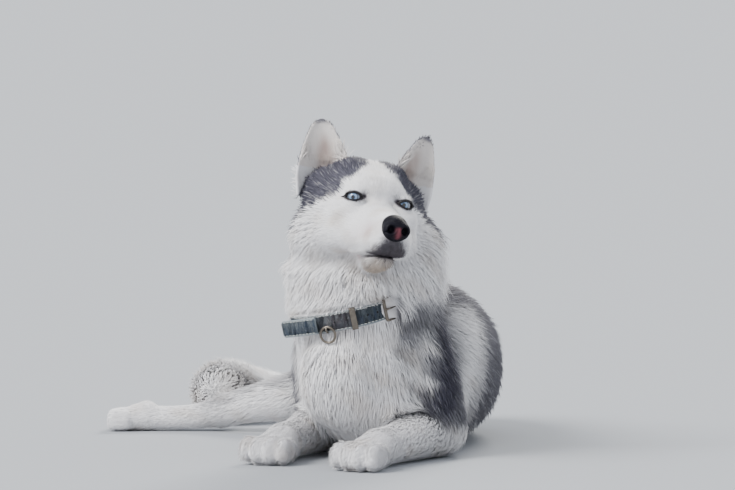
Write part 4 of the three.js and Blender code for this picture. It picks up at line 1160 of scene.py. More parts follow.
def coat_at(p):
    """The lie of the coat at points of the skin, and its length, width, spacing, lift and depth."""
    gaps = np.stack([forms[n].distance(p) for n in COAT], 1)
    local = to_head(p)
    near = length_of(local) < HEAD_HAIR_REACH
    head_gap = np.full(len(p), 300.0)
    head_gap[near] = head_distance(local[near])
    gaps = np.concatenate([gaps, head_gap[:, None]], 1)
    share = np.exp(-(gaps - gaps.min(1, keepdims=True)) / COAT_SOFTNESS)
    share /= share.sum(1, keepdims=True)
    lie = np.zeros((len(p), 3))
    rest = np.zeros((len(p), 5))
    for k, name in enumerate(COAT):
        some = share[:, k] > 1e-3
        if not some.any():
            continue
        own, added, *sizes = COAT[name]
        t = forms[name].locate(p[some])[0]
        own = own * ramp(t, 0.04, 0.3)[:, None] if name == "trunk" else own
        lie[some] += share[some, k:k + 1] * unit(own * forms[name].direction(t) + np.array(added))
        rest[some, :4] += share[some, k:k + 1] * np.array(sizes, float)
        rest[some, 4] += share[some, k] * forms[name].coat_depth(t)
    some = share[:, -1] > 1e-3
    head_lie, *head_rest = head_coat(local[some])
    lie[some] += share[some, -1:] * (head_lie @ HEAD_AXES.T)
    q = mirrored(local)
    head_rest.append(head_coat_depth(q[some]))
    rest[some] += share[some, -1:] * np.stack(head_rest, 1)
    c = to_collar(p)
    ledge = bell(c[:, 2] - COLLAR_HEIGHT / 2, 0, 9) * (np.hypot(c[:, 0], c[:, 1]) < 120)
    lie += LEDGE_PUSH * ledge[:, None] * (unit(c * [1, 1, 0]) @ COLLAR_AXES.T)
    ear = near & (q[:, 2] > 48)
    ear[ear] = ear_distance(q[ear]) < 2.5
    if ear.any():
        ear_lie, *ear_rest = ear_coat(local[ear])
        lie[ear] = ear_lie @ HEAD_AXES.T
        rest[ear, :4] = np.stack(ear_rest, 1)
        rest[ear, 4] = 0
    return unit(lie), rest


def strap_facing(c):
    """From 1, where the strap is most in sight, to -1 behind the neck, at points of the collar's frame."""
    return np.cos(np.arctan2(c[:, 1], c[:, 0]) - COLLAR_FRONT)


# Where no hair grows: the opening of the eyes, the nose, the lips' edge, and under the strap.
def bare(p):
    local = to_head(p)
    q = mirrored(local)
    on_head = length_of(local) < HEAD_HAIR_REACH
    out, up, ahead = eye_offsets(q)
    eye = (out / (EYE_HALF[0] + 3.4)) ** 2 + (up / (EYE_HALF[1] + 3.2)) ** 2 < 1
    nose = egg(q, NOSE + [0, 4, 2], [21, 21, 20]) < 0
    off_line = q[:, 2] - mouth_height(q[:, 1])
    slit = (np.abs(off_line) < 1.9) & (q[:, 1] < MOUTH_BACK)
    c = to_collar(p)
    seen = strap_facing(c) > STRAP_SEEN
    strap = (np.abs(c[:, 2]) < COLLAR_HEIGHT / 2 - 2.6) & (np.hypot(c[:, 0], c[:, 1]) < 110)
    return on_head & (eye & (ahead > 0) | nose | slit) | strap & seen | (p[:, 2] < 1.6)


DENSER = 1.0


def scatter(points, quads, normals):
    """Roots over the whole skin, as close as the coat's spacing says."""
    corners = points[quads]
    area = 0.5 * length_of(np.cross(corners[:, 2] - corners[:, 0], corners[:, 3] - corners[:, 1]))
    centre = corners.mean(1)
    _, sizes = coat_at(centre)
    low = (centre[:, 2] < 9) & (centre[:, 1] > -150)
    count = area / (sizes[:, 2] * np.where(low, 1.7, 1.0)) ** 2 * DENSER
    total = np.cumsum(count)
    number = int(total[-1])
    order = (np.arange(number) + rng.random(number)) * total[-1] / number
    face = np.minimum(np.searchsorted(total, order), len(quads) - 1)
    a, b = rng.random((2, number, 1))
    picked = corners[face]
    near_side = picked[:, 0] * (1 - a) + picked[:, 1] * a
    far_side = picked[:, 3] * (1 - a) + picked[:, 2] * a
    at = near_side * (1 - b) + far_side * b
    out = unit(normals[quads[face]].mean(1))
    keep = ~bare(at)
    return at[keep], out[keep]


TUFT_STEPS = 4
TUFT_RISE = [1.0, 0.75, 0.5, 0.25]  # how steeply each step climbs, as a share of the lift
TUFT_HEIGHT = [0.42, 0.76, 0.94, 1.05]  # how high each step of a long tuft ends, as a share of its full one
CLUMP_SPACING = 7


def tuft_paths(root, out, lie, sizes):
    """The line of every tuft: it leaves the skin, bends over and lies along the coat at its own height."""
    length, _, _, lift, depth = sizes.T
    count = len(root)
    wild = (0.2 + 0.4 * ramp(lift, 0.65, 0.95))[:, None] * rng.normal(size=(count, 3))
    length = length * (0.78 + 0.44 * rng.random(count))
    lift = lift * (0.75 + 0.5 * rng.random(count))
    full = depth * (0.72 + 0.3 * rng.random(count) + 0.42 * rng.random(count) ** 7)
    guided = ramp(length, 11, 22) * (depth > 0.1)
    at = root - out * np.minimum(1.8, 0.1 * length)[:, None]
    path = [at]
    outward = [out]
    normal = out
    for step in range(TUFT_STEPS):
        along = across(lie + wild * (0.4 + 0.5 * step / TUFT_STEPS), normal)
        climb = (TUFT_RISE[step] * lift)[:, None]
        at = at + unit(along + climb * 1.6 * normal) * (length / TUFT_STEPS)[:, None]
        gap, slope = above_skin(at)
        normal = unit(normal * (1 - 0.7 * guided[:, None]) + 0.7 * guided[:, None] * slope)
        rise = np.clip(full * TUFT_HEIGHT[step] - gap, -5, 12) * guided
        at = at + normal * rise[:, None]
        path.append(at)
        outward.append(normal)
    return np.stack(path, 1), np.stack(outward, 1), length


def gather(path, root, length):
    """Draws the tips of neighbouring tufts together into locks."""
    leaders = rng.permutation(len(root))[:max(1, len(root) // CLUMP_SPACING)]
    tree = kdtree.KDTree(len(leaders))
    for place, leader in enumerate(leaders):
        tree.insert(root[leader], int(leader))
    tree.balance()
    nearest = np.array([tree.find(r)[1] for r in root])
    pull = 0.06 + 0.2 * ramp(length, 10, 45)
    for step in range(1, TUFT_STEPS + 1):
        share = (pull * (step / TUFT_STEPS) ** 1.4)[:, None]
        path[:, step] = path[:, step] * (1 - share) + path[nearest, step] * share
    return path


def keep_clear(path):
    """Lays tufts over the strap where it is in sight, above the floor, and inside the model's box."""
    for step in range(1, path.shape[1]):
        at = path[:, step]
        c = to_collar(at)
        reach = np.hypot(c[:, 0], c[:, 1])
        ratio = np.hypot(c[:, 0] / (COLLAR_HALF[0] + 5), c[:, 1] / (COLLAR_HALF[1] + 5))
        beside = (np.abs(c[:, 2]) < COLLAR_HEIGHT / 2 + 1.5) & (ratio < 1) & (reach > 30)
        under = beside & (strap_facing(c) > STRAP_SEEN)
        c[under, :2] /= ratio[under, None]
        at = np.where(under[:, None], from_collar(c), at)
        at[:, 2] = np.maximum(at[:, 2], 0.9)
        path[:, step] = np.clip(at, box_low + 0.5, box_high - 0.5)
    return path


def above_strap(p, length):
    """Shortens tufts that would hang over the strap where it is in sight."""
    c = to_collar(p)
    gap = c[:, 2] - COLLAR_HEIGHT / 2
    over = (strap_facing(c) > 0.18) & (gap > -5) & (np.hypot(c[:, 0], c[:, 1]) < 150)
    return np.where(over, np.minimum(length, np.maximum(5.5 + 1.05 * gap, 3)), length)


BLADE_WIDTH = {1: [1.0], 2: [0.75, 0.95], 3: [0.6, 1.0, 0.75]}
BLADE_ALONG = {1: [0.0], 2: [0.0, 0.5], 3: [0.0, 0.36, 0.72]}


def blades(path, outward, width, rings):
    """Closed three-sided blades round the paths: corner points, faces, and how far along and over each is."""
    count = len(path)
    places = BLADE_ALONG[rings]
    points, over, along, shading = [], [], [], []
    steps = path.shape[1] - 1
    for place, share in zip(places, BLADE_WIDTH[rings]):
        k = min(int(place * steps), steps - 1)
        f = place * steps - k
        at = path[:, k] * (1 - f) + path[:, k + 1] * f
        ahead = unit(path[:, k + 1] - path[:, k])
        top = unit(outward[:, k] * (1 - f) + outward[:, k + 1] * f)
        side = unit(np.cross(ahead, top))
        up = np.cross(side, ahead)
        half = (0.5 * width * share)[:, None]
        points += [at + side * half, at + up * half * 0.55, at - side * half]
        shading += [top] * 3
        over += [1.0, 0.0, -1.0]
        along += [place] * 3
    points.append(path[:, -1])
    shading.append(outward[:, -1])
    over.append(0.0)
    along.append(1.0)
    faces = [(0, 1, 2)]
    under = [True]
    for ring in range(rings - 1):
        for k in range(3):
            a, b = 3 * ring + k, 3 * ring + (k + 1) % 3
            faces += [(a, b + 3, b), (a, a + 3, b + 3)]
            under += [k == 2] * 2
    last = 3 * (rings - 1)
    faces += [(last + k, 3 * rings, last + (k + 1) % 3) for k in range(3)]
    under += [False, False, True]
    points = np.stack(points, 1)
    each = points.shape[1]
    loops = np.array(faces)[None] + (np.arange(count) * each)[:, None, None]
    loops = loops.reshape(-1)
    shading = unit(np.stack(shading, 1)).reshape(-1, 3)[loops]
    under = np.tile(np.repeat(under, 3), count)
    return points.reshape(-1, 3), loops, np.tile(over, count), np.tile(along, count), shading, under, each


ROOT_PATCH = 0.003  # each tuft's size on the unwrap
COAT_LIMIT = 190000  # triangles in one piece
SOFT_SHADING = 0.76  # how far the upper faces of a tuft take the coat's own direction for their shading


def coat_piece(name, root, path, outward, width, rings):
    points, loops, over, along, shading, under, each = blades(path, outward, width, rings)
    made = make_mesh(name, points, loops, np.full(len(loops) // 3, 3), coat_material)
    for key, values in markings(root).items():
        give(made.data, key, np.repeat(values, each))
    give(made.data, "along", along)
    give(made.data, "over", over)
    give(made.data, "tuft", np.repeat(rng.random(len(root)), each))
    uv = unwrapped(root, chart_of(root))
    corner = loops.reshape(len(root), -1) % each
    spot = np.stack([over[:each] * 0.5, along[:each] - 0.5], 1) * ROOT_PATCH
    add_uv(made, (uv[:, None] + spot[corner]).reshape(-1, 2))
    shape = np.zeros(len(points) * 3, np.float32)
    made.data.vertices.foreach_get("normal", shape)
    shape = shape.reshape(-1, 3)[loops]
    share = np.where(under, 0.0, SOFT_SHADING)[:, None]
    made.data.normals_split_custom_set(unit(share * shading + (1 - share) * shape))
    return part(made, "coat_white")


roots, outs = scatter(skin_points, skin_quads, skin_normals)
lies, coat_sizes = coat_at(roots)
coat_sizes[:, 0] = above_strap(roots, coat_sizes[:, 0])
widen = 1.0
paths, outwards, lengths = tuft_paths(roots, outs, lies, coat_sizes)
paths = keep_clear(gather(paths, roots, lengths))
widths = coat_sizes[:, 1] * (0.75 + 0.5 * rng.random(len(roots))) * widen

# The coat is parted by region and by length, and again where that leaves too many triangles in a piece.
HEAD_ABOVE = 262
HIND_BEHIND = 240
region = np.where(roots[:, 2] > HEAD_ABOVE, 0, np.where(roots[:, 1] > HIND_BEHIND, 2, 1))
coat_total = 0
for number, region_name in enumerate(("head", "fore", "hind")):
    long_rings = 3 if region_name == "head" else 2
    for least, most, rings, kind in ((0, 9, 1, "flat"), (9, 30, 2, "short"), (30, 99, long_rings, "long")):
        mine = np.flatnonzero((region == number) & (lengths >= least) & (lengths < most))
        faces_each = 4 + 6 * (rings - 1)
        batch = COAT_LIMIT // faces_each
        for start in range(0, len(mine), batch):
            some = mine[start:start + batch]
            piece_name = f"coat_{region_name}_{kind}_{start // batch + 1}"
            coat_piece(piece_name, roots[some], paths[some], outwards[some], widths[some], rings)
            coat_total += len(some) * faces_each
print("coat", len(roots), "tufts", coat_total, "triangles")


# Solid tubes, for lids, claws, hardware and thread.
def tube(line, radii, sides=8, closed=False, flat=1.0, up=(0.0, 0.0, 1.0)):
    """Points and faces round a line. A closed one is a hoop, and an open one has pointed ends."""
    line = np.asarray(line, float)
    radii = np.broadcast_to(np.asarray(radii, float), (len(line),))
    if closed:
        ahead = unit(np.roll(line, -1, 0) - np.roll(line, 1, 0))
    else:
        ahead = unit(np.gradient(line, axis=0))
    top = across(np.tile(np.asarray(up, float), (len(line), 1)), ahead)
    side = np.cross(top, ahead)
    turn = 2 * math.pi * np.arange(sides) / sides
    rings = line[:, None] + radii[:, None, None] * (
        np.cos(turn)[None, :, None] * side[:, None] + flat * np.sin(turn)[None, :, None] * top[:, None]
    )
    points = rings.reshape(-1, 3)
    count = len(line)
    faces = []
    for i in range(count if closed else count - 1):
        for k in range(sides):
            a, b = i * sides + k, i * sides + (k + 1) % sides
            c, d = (i + 1) % count * sides + (k + 1) % sides, (i + 1) % count * sides + k
            faces.append((a, b, c, d))
    if not closed:
        first, last = len(points), len(points) + 1
        points = np.vstack([points, line[0], line[-1]])
        for k in range(sides):
            faces.append((first, (k + 1) % sides, k))
            base = (count - 1) * sides
            faces.append((last, base + k, base + (k + 1) % sides))
    return points, faces


def join(shapes):
    """Several shapes, each its points and faces, as one."""
    points, faces, start = [], [], 0
    for shape_points, shape_faces in shapes:
        points.append(shape_points)
        faces += [tuple(start + c for c in face) for face in shape_faces]
        start += len(shape_points)
    return np.concatenate(points), faces


def solid(name, shape, material, slot_name, replaced=(), smooth=True):
    points, faces = shape
    loops = np.concatenate([np.array(face) for face in faces])
    made = make_mesh(name, points, loops, np.array([len(face) for face in faces]), material, smooth)
    return part(made, slot_name, replaced)


# Eyes.
GAZE = {"left": (-0.146, -0.989, 0.008), "right": (-0.428, -0.902, -0.051)}
IRIS_RADIUS = 6.9
PUPIL_RADIUS = 2.4
CORNEA_RISE = 0.55


def eye_look():
    look = Look("eye", rgb(200, 214, 228), 0.08, specular=0.6)
    look.shader.inputs["Coat Weight"].default_value = 1.0
    look.shader.inputs["Coat Roughness"].default_value = 0.02
    off = look.mask("off_middle")

    def past(radius, slope):
        """A share that grows to 1 where the distance off the middle passes a radius."""
        return look.maths("MULTIPLY", look.maths("SUBTRACT", off, radius), slope, clamp=True)

    streak = look.noise(9.0, look.vector(look.mask("spoke_x"), look.mask("spoke_y")), 4.0)
    iris = look.mix(streak, rgb(84, 118, 164), rgb(164, 190, 218))
    iris = look.mix(look.maths("SUBTRACT", 1.0, past(PUPIL_RADIUS, 0.8)), iris, rgb(60, 84, 120))
    iris = look.mix(past(IRIS_RADIUS - 1.7, 0.7), iris, rgb(24, 30, 44))
    white = look.mix(past(IRIS_RADIUS + 1.2, 0.3), rgb(120, 130, 146), rgb(48, 42, 46))
    made = look.mix(look.maths("GREATER_THAN", off, IRIS_RADIUS), iris, white)
    made = look.mix(look.maths("LESS_THAN", off, PUPIL_RADIUS), made, rgb(6, 6, 8))
    look.colour(made)
    return look.material


def eyeball(side):
    """A ball whose pole is the way the eye looks. The cornea stands a little proud."""
    gaze = unit(np.array(GAZE[side]))
    right = across(np.array([1.0, 0.0, 0.0]), gaze)
    up = np.cross(right, gaze)
    rings, sides = 40, 48
    polar = math.pi * (np.arange(1, rings) / rings) ** 1.35
    spin = 2 * math.pi * np.arange(sides) / sides
    radius = EYE_RADIUS + CORNEA_RISE * (1 - ramp(polar * EYE_RADIUS, 0, IRIS_RADIUS + 1.4))
    ring = np.cos(spin)[:, None] * right + np.sin(spin)[:, None] * up
    turned = polar[:, None, None]
    points = radius[:, None, None] * (np.cos(turned) * gaze + np.sin(turned) * ring)
    points = np.vstack([points.reshape(-1, 3), gaze * (EYE_RADIUS + CORNEA_RISE), -gaze * EYE_RADIUS])
    faces = []
    for i in range(rings - 2):
        for k in range(sides):
            a, b = i * sides + k, i * sides + (k + 1) % sides
            faces.append((a, a + sides, b + sides, b))
    first, last = len(points) - 2, len(points) - 1
    for k in range(sides):
        faces.append((first, k, (k + 1) % sides))
        base = (rings - 2) * sides
        faces.append((last, base + (k + 1) % sides, base + k))
    off = np.append(np.repeat(polar * EYE_RADIUS, sides), [0, math.pi * EYE_RADIUS])
    spokes = np.vstack([np.tile(np.stack([np.cos(spin), np.sin(spin)], 1), (rings - 1, 1)), np.zeros((2, 2))])
    centre = EYE * [SIDES[side], 1, 1]
    made = solid("eye_" + side, (from_head(points + centre), faces), eye_material, "eye", ["eye_" + side])
    give(made.data, "off_middle", off)
    give(made.data, "spoke_x", spokes[:, 0] * 2)
    give(made.data, "spoke_y", spokes[:, 1] * 2)


def on_lid(out, up, rise, side):
    """A point of the lids' own ball, from its place across and up the opening."""
    c, s = math.cos(EYE_LIFT), math.sin(EYE_LIFT)
    u, v = out * c - up * s, out * s + up * c
    far = np.sqrt(np.maximum((LID_RADIUS + rise) ** 2 - u**2 - v**2, 1.0))
    p = EYE + u[:, None] * EYE_OUT + v[:, None] * EYE_UP + far[:, None] * EYE_AHEAD
    return from_head(p * [SIDES[side], 1, 1])


def lids(side):
    """The dark rims of both lids, the corner by the nose, and the line that runs out behind the eye."""
    turn = 2 * math.pi * np.arange(56) / 56
    out = (EYE_HALF[0] + 0.3) * np.cos(turn)
    up = (EYE_HALF[1] + 0.2) * np.sin(turn)
    thick = 1.0 + 0.8 * ramp(np.sin(turn), -0.2, 1) + 0.6 * ramp(np.abs(np.cos(turn)), 0.6, 1)
    shapes = [tube(on_lid(out, up, -0.5, side), thick, 8, closed=True)]
    s = np.linspace(0, 1, 9)
    inner_line = on_lid(-EYE_HALF[0] - 3.6 * s, -0.6 * s, -0.3, side)
    shapes.append(tube(inner_line, 2.3 * (1 - 0.7 * s), 8))
    outer_line = on_lid(EYE_HALF[0] - 1.5 + 9 * s, 0.4 - 1.2 * s, 0.4 + 0.9 * s, side)
    shapes.append(tube(outer_line, 2.4 * (1 - 0.8 * s), 8))
    solid("lids_" + side, join(shapes), lid_material, "nose_skin")


eye_material = eye_look()
lid_look = Look("lid_rims", rgb(26, 22, 26), 0.42, specular=0.4)
lid_look.bump(lid_look.noise(900.0, lid_look.place(), 3.0), 0.25, 0.0004)
lid_material = lid_look.material
for side in SIDES:
    eyeball(side)
    lids(side)


# The nose: leather with nostrils that curl out to the sides, and a groove down the middle.
def nose_distance(p):
    q = mirrored(to_head(p))
    d = smooth_min(egg(q, NOSE, [18.5, 14.5, 15.5]), egg(q, NOSE + [0, 8, 6.5], [17, 16, 14.5]), 6)
    d = smooth_min(d, egg(q, NOSE + [9, -6, 0], [9.5, 9, 10]), 4)
    d = smooth_max(d, -egg(q, NOSE + [9.4, -13.5, -0.5], [5.2, 9, 5.6]), 2.4)
    d = smooth_max(d, -taper(q, NOSE + [9, -15, -3], NOSE + [18, -7, -5.5], 2.2, 1.3), 1.6)
    return smooth_max(d, -taper(q, NOSE + [0, -16, -3], NOSE + [0, -13, -16], 0.9, 1.6), 2.0)


nose_middle = from_head(NOSE + [0, 2, 0])
nose_axes = [np.arange(at - 30, at + 30, 0.95) for at in nose_middle]
nose_points, nose_quads = net_surface(nose_distance, nose_axes)
nose_points, nose_quads = largest_part(nose_points, nose_quads)
nose_points = relax(nose_points, nose_quads, nose_distance, 4)
nose_look = Look("nose_skin", rgb(26, 25, 32), 0.56, specular=0.12)
nose_colour = nose_look.mix(nose_look.noise(160.0, nose_look.place(), 3.0), rgb(12, 12, 18), rgb(30, 29, 38))
nose_look.colour(nose_look.mix(nose_look.mask("pink"), nose_colour, rgb(116, 66, 74)))
pebble = nose_look.node("TexVoronoi", Scale=620.0, Vector=nose_look.place())
nose_look.bump(pebble.outputs["Distance"], 0.5, 0.0004)
nose = make_mesh("nose", nose_points, nose_quads.ravel(), np.full(len(nose_quads), 4), nose_look.material)
nose_local = to_head(nose_points) - NOSE
stripe = bell(nose_local[:, 0] + 0.8 * wander(nose_points, 9, 21), 0.6, 3.6) * ramp(-nose_local[:, 1], 7, 12)
give(nose.data, "pink", stripe * ramp(5.5 - nose_local[:, 2], 0, 5) * 0.9)
part(nose, "nose_skin", ["nose"])


# Claws.
claw_look = Look("claws", rgb(52, 46, 46), 0.38)
claw_grain = claw_look.noise(240.0, claw_look.place(), 2.0)
claw_look.colour(claw_look.mix(claw_grain, rgb(38, 33, 34), rgb(92, 82, 76)))
claw_shapes = []
for at, forward in claw_roots:
    s = np.linspace(0, 1, 8)[:, None]
    line = at + forward * (6.6 * s - 2.5) + np.array([0, 0, 1.0]) * (1.6 - 1.0 * s - 4.0 * s**2)
    line[:, 2] = np.maximum(line[:, 2], 1.4)
    claw_shapes.append(tube(line, 2.1 * (1 - 0.8 * s[:, 0] ** 1.3), 8))
solid("claws", join(claw_shapes), claw_look.material, "nose_skin")


# The collar.
def on_strap(angle, out, height):
    """A point off the strap's middle surface, at an angle round it, in the model's frame."""
    angle, out, height = np.broadcast_arrays(np.asarray(angle, float), out, height)
    normal = unit(np.stack([np.cos(angle) / COLLAR_HALF[0], np.sin(angle) / COLLAR_HALF[1], 0 * angle], -1))
    ring = np.stack([COLLAR_HALF[0] * np.cos(angle), COLLAR_HALF[1] * np.sin(angle), height], -1)
    return from_collar(ring + normal * out[..., None])


def strap_axes(angle):
    """The directions along the strap, away from the neck and up it, at an angle round it."""
    normal = unit(np.array([math.cos(angle) / COLLAR_HALF[0], math.sin(angle) / COLLAR_HALF[1], 0.0]))
    along = np.array([-normal[1], normal[0], 0.0])
    return COLLAR_AXES @ along, COLLAR_AXES @ normal, COLLAR_AXES @ np.array([0.0, 0.0, 1.0])


# The corners of a rectangle in turn: each one's side across and up, and the angle that its curve starts at.
CORNERS = [(1, 1, 0), (-1, 1, 90), (-1, -1, 180), (1, -1, 270)]
FLATS = (-0.84, -0.76, 0, 0.76, 0.84)  # where a section's flat sides have points, in half heights


def rounded_profile(half_height, half_thick, round_by=1.3, steps=3):
    """A flat strap's section, with its four edges rounded: (out, height) pairs."""
    made = []
    for out, up, start in CORNERS:
        for k in range(steps + 1):
            turn = math.radians(start + 90 * k / steps)
            made.append((out * (half_thick - round_by) + round_by * math.cos(turn),
                         up * (half_height - round_by) + round_by * math.sin(turn)))
        if up * out < 0:
            made += [(out * half_thick, h * -out * half_height) for h in FLATS]
    return np.array(made)


def ribbon(sections, closed):
    """A strap from a row of sections, each a ring of points."""
    sections = np.asarray(sections)
    count, sides = sections.shape[:2]
    points = sections.reshape(-1, 3)
    faces = []
    for i in range(count if closed else count - 1):
        for k in range(sides):
            a, b = i * sides + k, i * sides + (k + 1) % sides
            j = (i + 1) % count * sides
            faces.append((b, a, j + k, j + (k + 1) % sides))
    if not closed:
        faces.append(tuple(range(sides)))
        faces.append(tuple(reversed(range((count - 1) * sides, count * sides))))
    return points, faces


STRAP_STEPS = 220
SEAM = 2.6  # how far in from the edge the stitches run
WORN_ANGLE = math.radians(-100)  # where the strap is most worn
profile = rounded_profile(COLLAR_HEIGHT / 2, COLLAR_THICK / 2)
strap_sections = []
for i in range(STRAP_STEPS):
    angle = 2 * math.pi * i / STRAP_STEPS
    wave = 0.35 * math.sin(3 * angle + 1) + 0.25 * math.sin(7 * angle)
    strap_sections.append(on_strap(np.full(len(profile), angle), profile[:, 0], profile[:, 1] + wave))

leather_look = Look("collar_leather", rgb(74, 88, 100), 0.62, specular=0.35)
clouds = leather_look.noise(42.0, leather_look.place(), 5.0)
leather = leather_look.mix(clouds, rgb(36, 46, 62), rgb(84, 98, 116))
scuffs = leather_look.noise(90.0, leather_look.place(), 4.0)
scuffs = leather_look.maths("MULTIPLY", leather_look.mask("worn"), scuffs)
leather = leather_look.mix(scuffs, leather, rgb(104, 88, 86))
leather = leather_look.mix(leather_look.mask("edge"), leather, rgb(138, 146, 150))
leather_look.colour(leather)
leather_look.bump(leather_look.noise(700.0, leather_look.place(), 4.0), 0.4, 0.0005)

strap = solid("collar", ribbon(strap_sections, True), leather_look.material, "collar_leather", ["collar"])
strap_edge = ramp(np.abs(profile[:, 1]), COLLAR_HEIGHT / 2 - SEAM, COLLAR_HEIGHT / 2 - 1.2)
give(strap.data, "edge", np.tile(strap_edge, STRAP_STEPS) * 0.8)
strap_angles = np.repeat(2 * math.pi * np.arange(STRAP_STEPS) / STRAP_STEPS, len(profile))
give(strap.data, "worn", bell(np.cos(strap_angles - WORN_ANGLE), 1, 0.06))

FACE = COLLAR_THICK / 2
TIP_LENGTH = 54.0
TIP_LIFT = 6.3
TIP_HALF = 12.0
tip_along, tip_out, tip_up = strap_axes(TIP_ANGLE)
tip_root = on_strap(TIP_ANGLE, FACE + TIP_LIFT, 0.0)
tip_sections, tip_edges = [], []


def on_tip(s):
    """The middle of the loose end, from its root at 0 to its end at 1."""
    return tip_root + tip_along * (2 - (TIP_LENGTH + 1) * s) + tip_out * 1.6 * math.sin(2.2 * s)


for s in np.linspace(0, 1, 26):
    corner = max(s - 0.93, 0) / 0.07
    half = TIP_HALF - 3.2 * (1 - math.sqrt(max(1 - corner**2, 0)))
    section = rounded_profile(half, 1.5, 1.1)
    tip_sections.append(on_tip(s) + section[:, :1] * tip_out + section[:, 1:] * tip_up)
    tip_edges.append(np.maximum(ramp(np.abs(section[:, 1]), 0.83 * half, 0.9 * half), ramp(s, 0.955, 0.985)))
tip_shape = ribbon(tip_sections, False)
tip = solid("collar_tip", tip_shape, leather_look.material, "collar_leather", ["collar_tip"])
give(tip.data, "edge", np.concatenate(tip_edges))
give(tip.data, "worn", np.zeros(len(tip_edges) * len(profile)))

# Stitches in two rows along the strap and round its loose end.
STITCH_LENGTH = 3.6
STITCH_PITCH = 5.4
STITCH_LIFT = np.array([-0.3, 0.3, 0.3, -0.3])
THREAD_RADIUS = 0.45
stitches = []
strap_girth = math.pi * (COLLAR_HALF[0] + COLLAR_HALF[1])
stitch_count = int(strap_girth / STITCH_PITCH)
for row in (-1, 1):
    for i in range(stitch_count):
        angle = 2 * math.pi * i / stitch_count
        half_turn = STITCH_LENGTH / 2 / COLLAR_HALF.mean()
        angles = np.linspace(angle - half_turn, angle + half_turn, len(STITCH_LIFT))
        line = on_strap(angles, FACE + STITCH_LIFT, row * (COLLAR_HEIGHT / 2 - SEAM))
        stitches.append(tube(line, THREAD_RADIUS, 5))
for row in (-1, 1):
    for s in np.arange(0.06, 0.9, STITCH_PITCH / TIP_LENGTH):
        places = s + np.linspace(0, STITCH_LENGTH, len(STITCH_LIFT)) / TIP_LENGTH
        line = [on_tip(place) + tip_out * (1.5 + lift) + tip_up * row * (TIP_HALF - SEAM)
                for place, lift in zip(places, STITCH_LIFT)]
        stitches.append(tube(line, THREAD_RADIUS, 5))
thread = Look("collar_thread", rgb(186, 190, 186), 0.8)
solid("collar_stitches", join(stitches), thread.material, "collar_leather")

# Holes down the middle of the strap: dark plugs whose colour is painted shade inside each hole.
hole_shade_look = Look("collar_hole_shade", rgb(22, 22, 26), 0.8)
HOLE_ANGLES = np.radians([-102, -90, -68, -57])
holes = []
for angle in HOLE_ANGLES:
    along, outward, upward = strap_axes(angle)
    middle = on_strap(angle, FACE - 0.5, 0.0)
    line = [middle + outward * rise for rise in (0, 0.3, 0.62)]
    holes.append(tube(line, [1.7, 1.75, 1.3], 14, up=upward))
solid("collar_hole_shade", join(holes), hole_shade_look.material, "collar_leather")

# Metal parts: keeper, buckle with its tongue, and ring.
metal_look = Look("collar_metal", rgb(112, 106, 98), 0.34, metallic=0.9)
tarnish = metal_look.noise(120.0, metal_look.place(), 4.0)
metal_look.colour(metal_look.mix(tarnish, rgb(78, 72, 66), rgb(142, 134, 124)))
metal_look.bump(metal_look.noise(500.0, metal_look.place(), 3.0), 0.25, 0.0003)


def rounded_frame(angle, wide, high, lift, corner=3.5):
    """A line round a rectangle with round corners that stands on the strap's face."""
    along, outward, upward = strap_axes(angle)
    middle = on_strap(angle, FACE + lift, 0.0)
    line = []
    for x, y, start in CORNERS:
        for k in range(5):
            turn = math.radians(start + 22.5 * k)
            a = x * (wide / 2 - corner) + corner * math.cos(turn)
            b = y * (high / 2 - corner) + corner * math.sin(turn)
            bow = -(a * a) / (2 * COLLAR_HALF.mean())
            line.append(middle + along * a + upward * b + outward * bow)
    return np.array(line), along, outward, upward, middle


band_along, band_out, band_up = strap_axes(KEEPER_ANGLE)
band_middle = on_strap(KEEPER_ANGLE, 0.0, 0.0)
band_sections = []
for x, y, start in CORNERS:
    for k in range(4):
        turn = math.radians(start + 30 * k)
        out, up = math.cos(turn), math.sin(turn)
        base = np.array([x * 1.4 + 1.6 * out, y * (COLLAR_HEIGHT / 2 - 0.2) + 1.6 * up])
        section = []
        for wide, thick in rounded_profile(0.75, 4.2, 0.6, 2):
            grown = base + thick * np.array([out, up])
            off = band_out * (grown[0] + 0.9 * x)
            section.append(band_middle + off + band_up * grown[1] + band_along * wide)
        band_sections.append(section)
solid("collar_keeper", ribbon(band_sections, True), metal_look.material, "collar_metal", ["collar_keeper"])

frame_line, along, outward, upward, middle = rounded_frame(BUCKLE_ANGLE, 24, COLLAR_HEIGHT + 5, 1.6)
buckle = [tube(frame_line, 1.9, 8, closed=True, up=outward)]
bar = [middle + along * -10.5 + upward * h for h in np.linspace(-15, 15, 6)]
buckle.append(tube(bar, 1.3, 8, up=outward))
TONGUE = [(-12, 0.6), (-10, 2.0), (-4, 2.2), (4, 2.2), (10, 2.4), (13.5, 2.0)]  # along the strap and off it
tongue = [middle + along * x + outward * z for x, z in TONGUE]
buckle.append(tube(tongue, [1.2, 1.5, 1.3, 1.2, 1.15, 0.9], 8, up=upward))
solid("collar_buckle", join(buckle), metal_look.material, "collar_metal", ["collar_buckle"])

RING_RADIUS = 11
along, outward, upward = strap_axes(RING_ANGLE)
ring_middle = on_strap(RING_ANGLE, FACE + 2.4, -COLLAR_HEIGHT / 2 - 2)
turns = 2 * math.pi * np.arange(40) / 40
ring_line = ring_middle + RING_RADIUS * (np.cos(turns)[:, None] * along + np.sin(turns)[:, None] * upward)
ring_shapes = [tube(ring_line, 1.8, 10, closed=True, up=outward)]
LOOP = [(0.4, -4), (3.4, -5.5), (5.6, -8), (3.4, -12), (0.4, -13)]  # off the strap and up it
loop_line = [on_strap(RING_ANGLE, FACE + off, height) for off, height in LOOP]
ring_shapes.append(tube(loop_line, 1.3, 8, up=along))
solid("d_ring", join(ring_shapes), metal_look.material, "collar_metal", ["d_ring"])


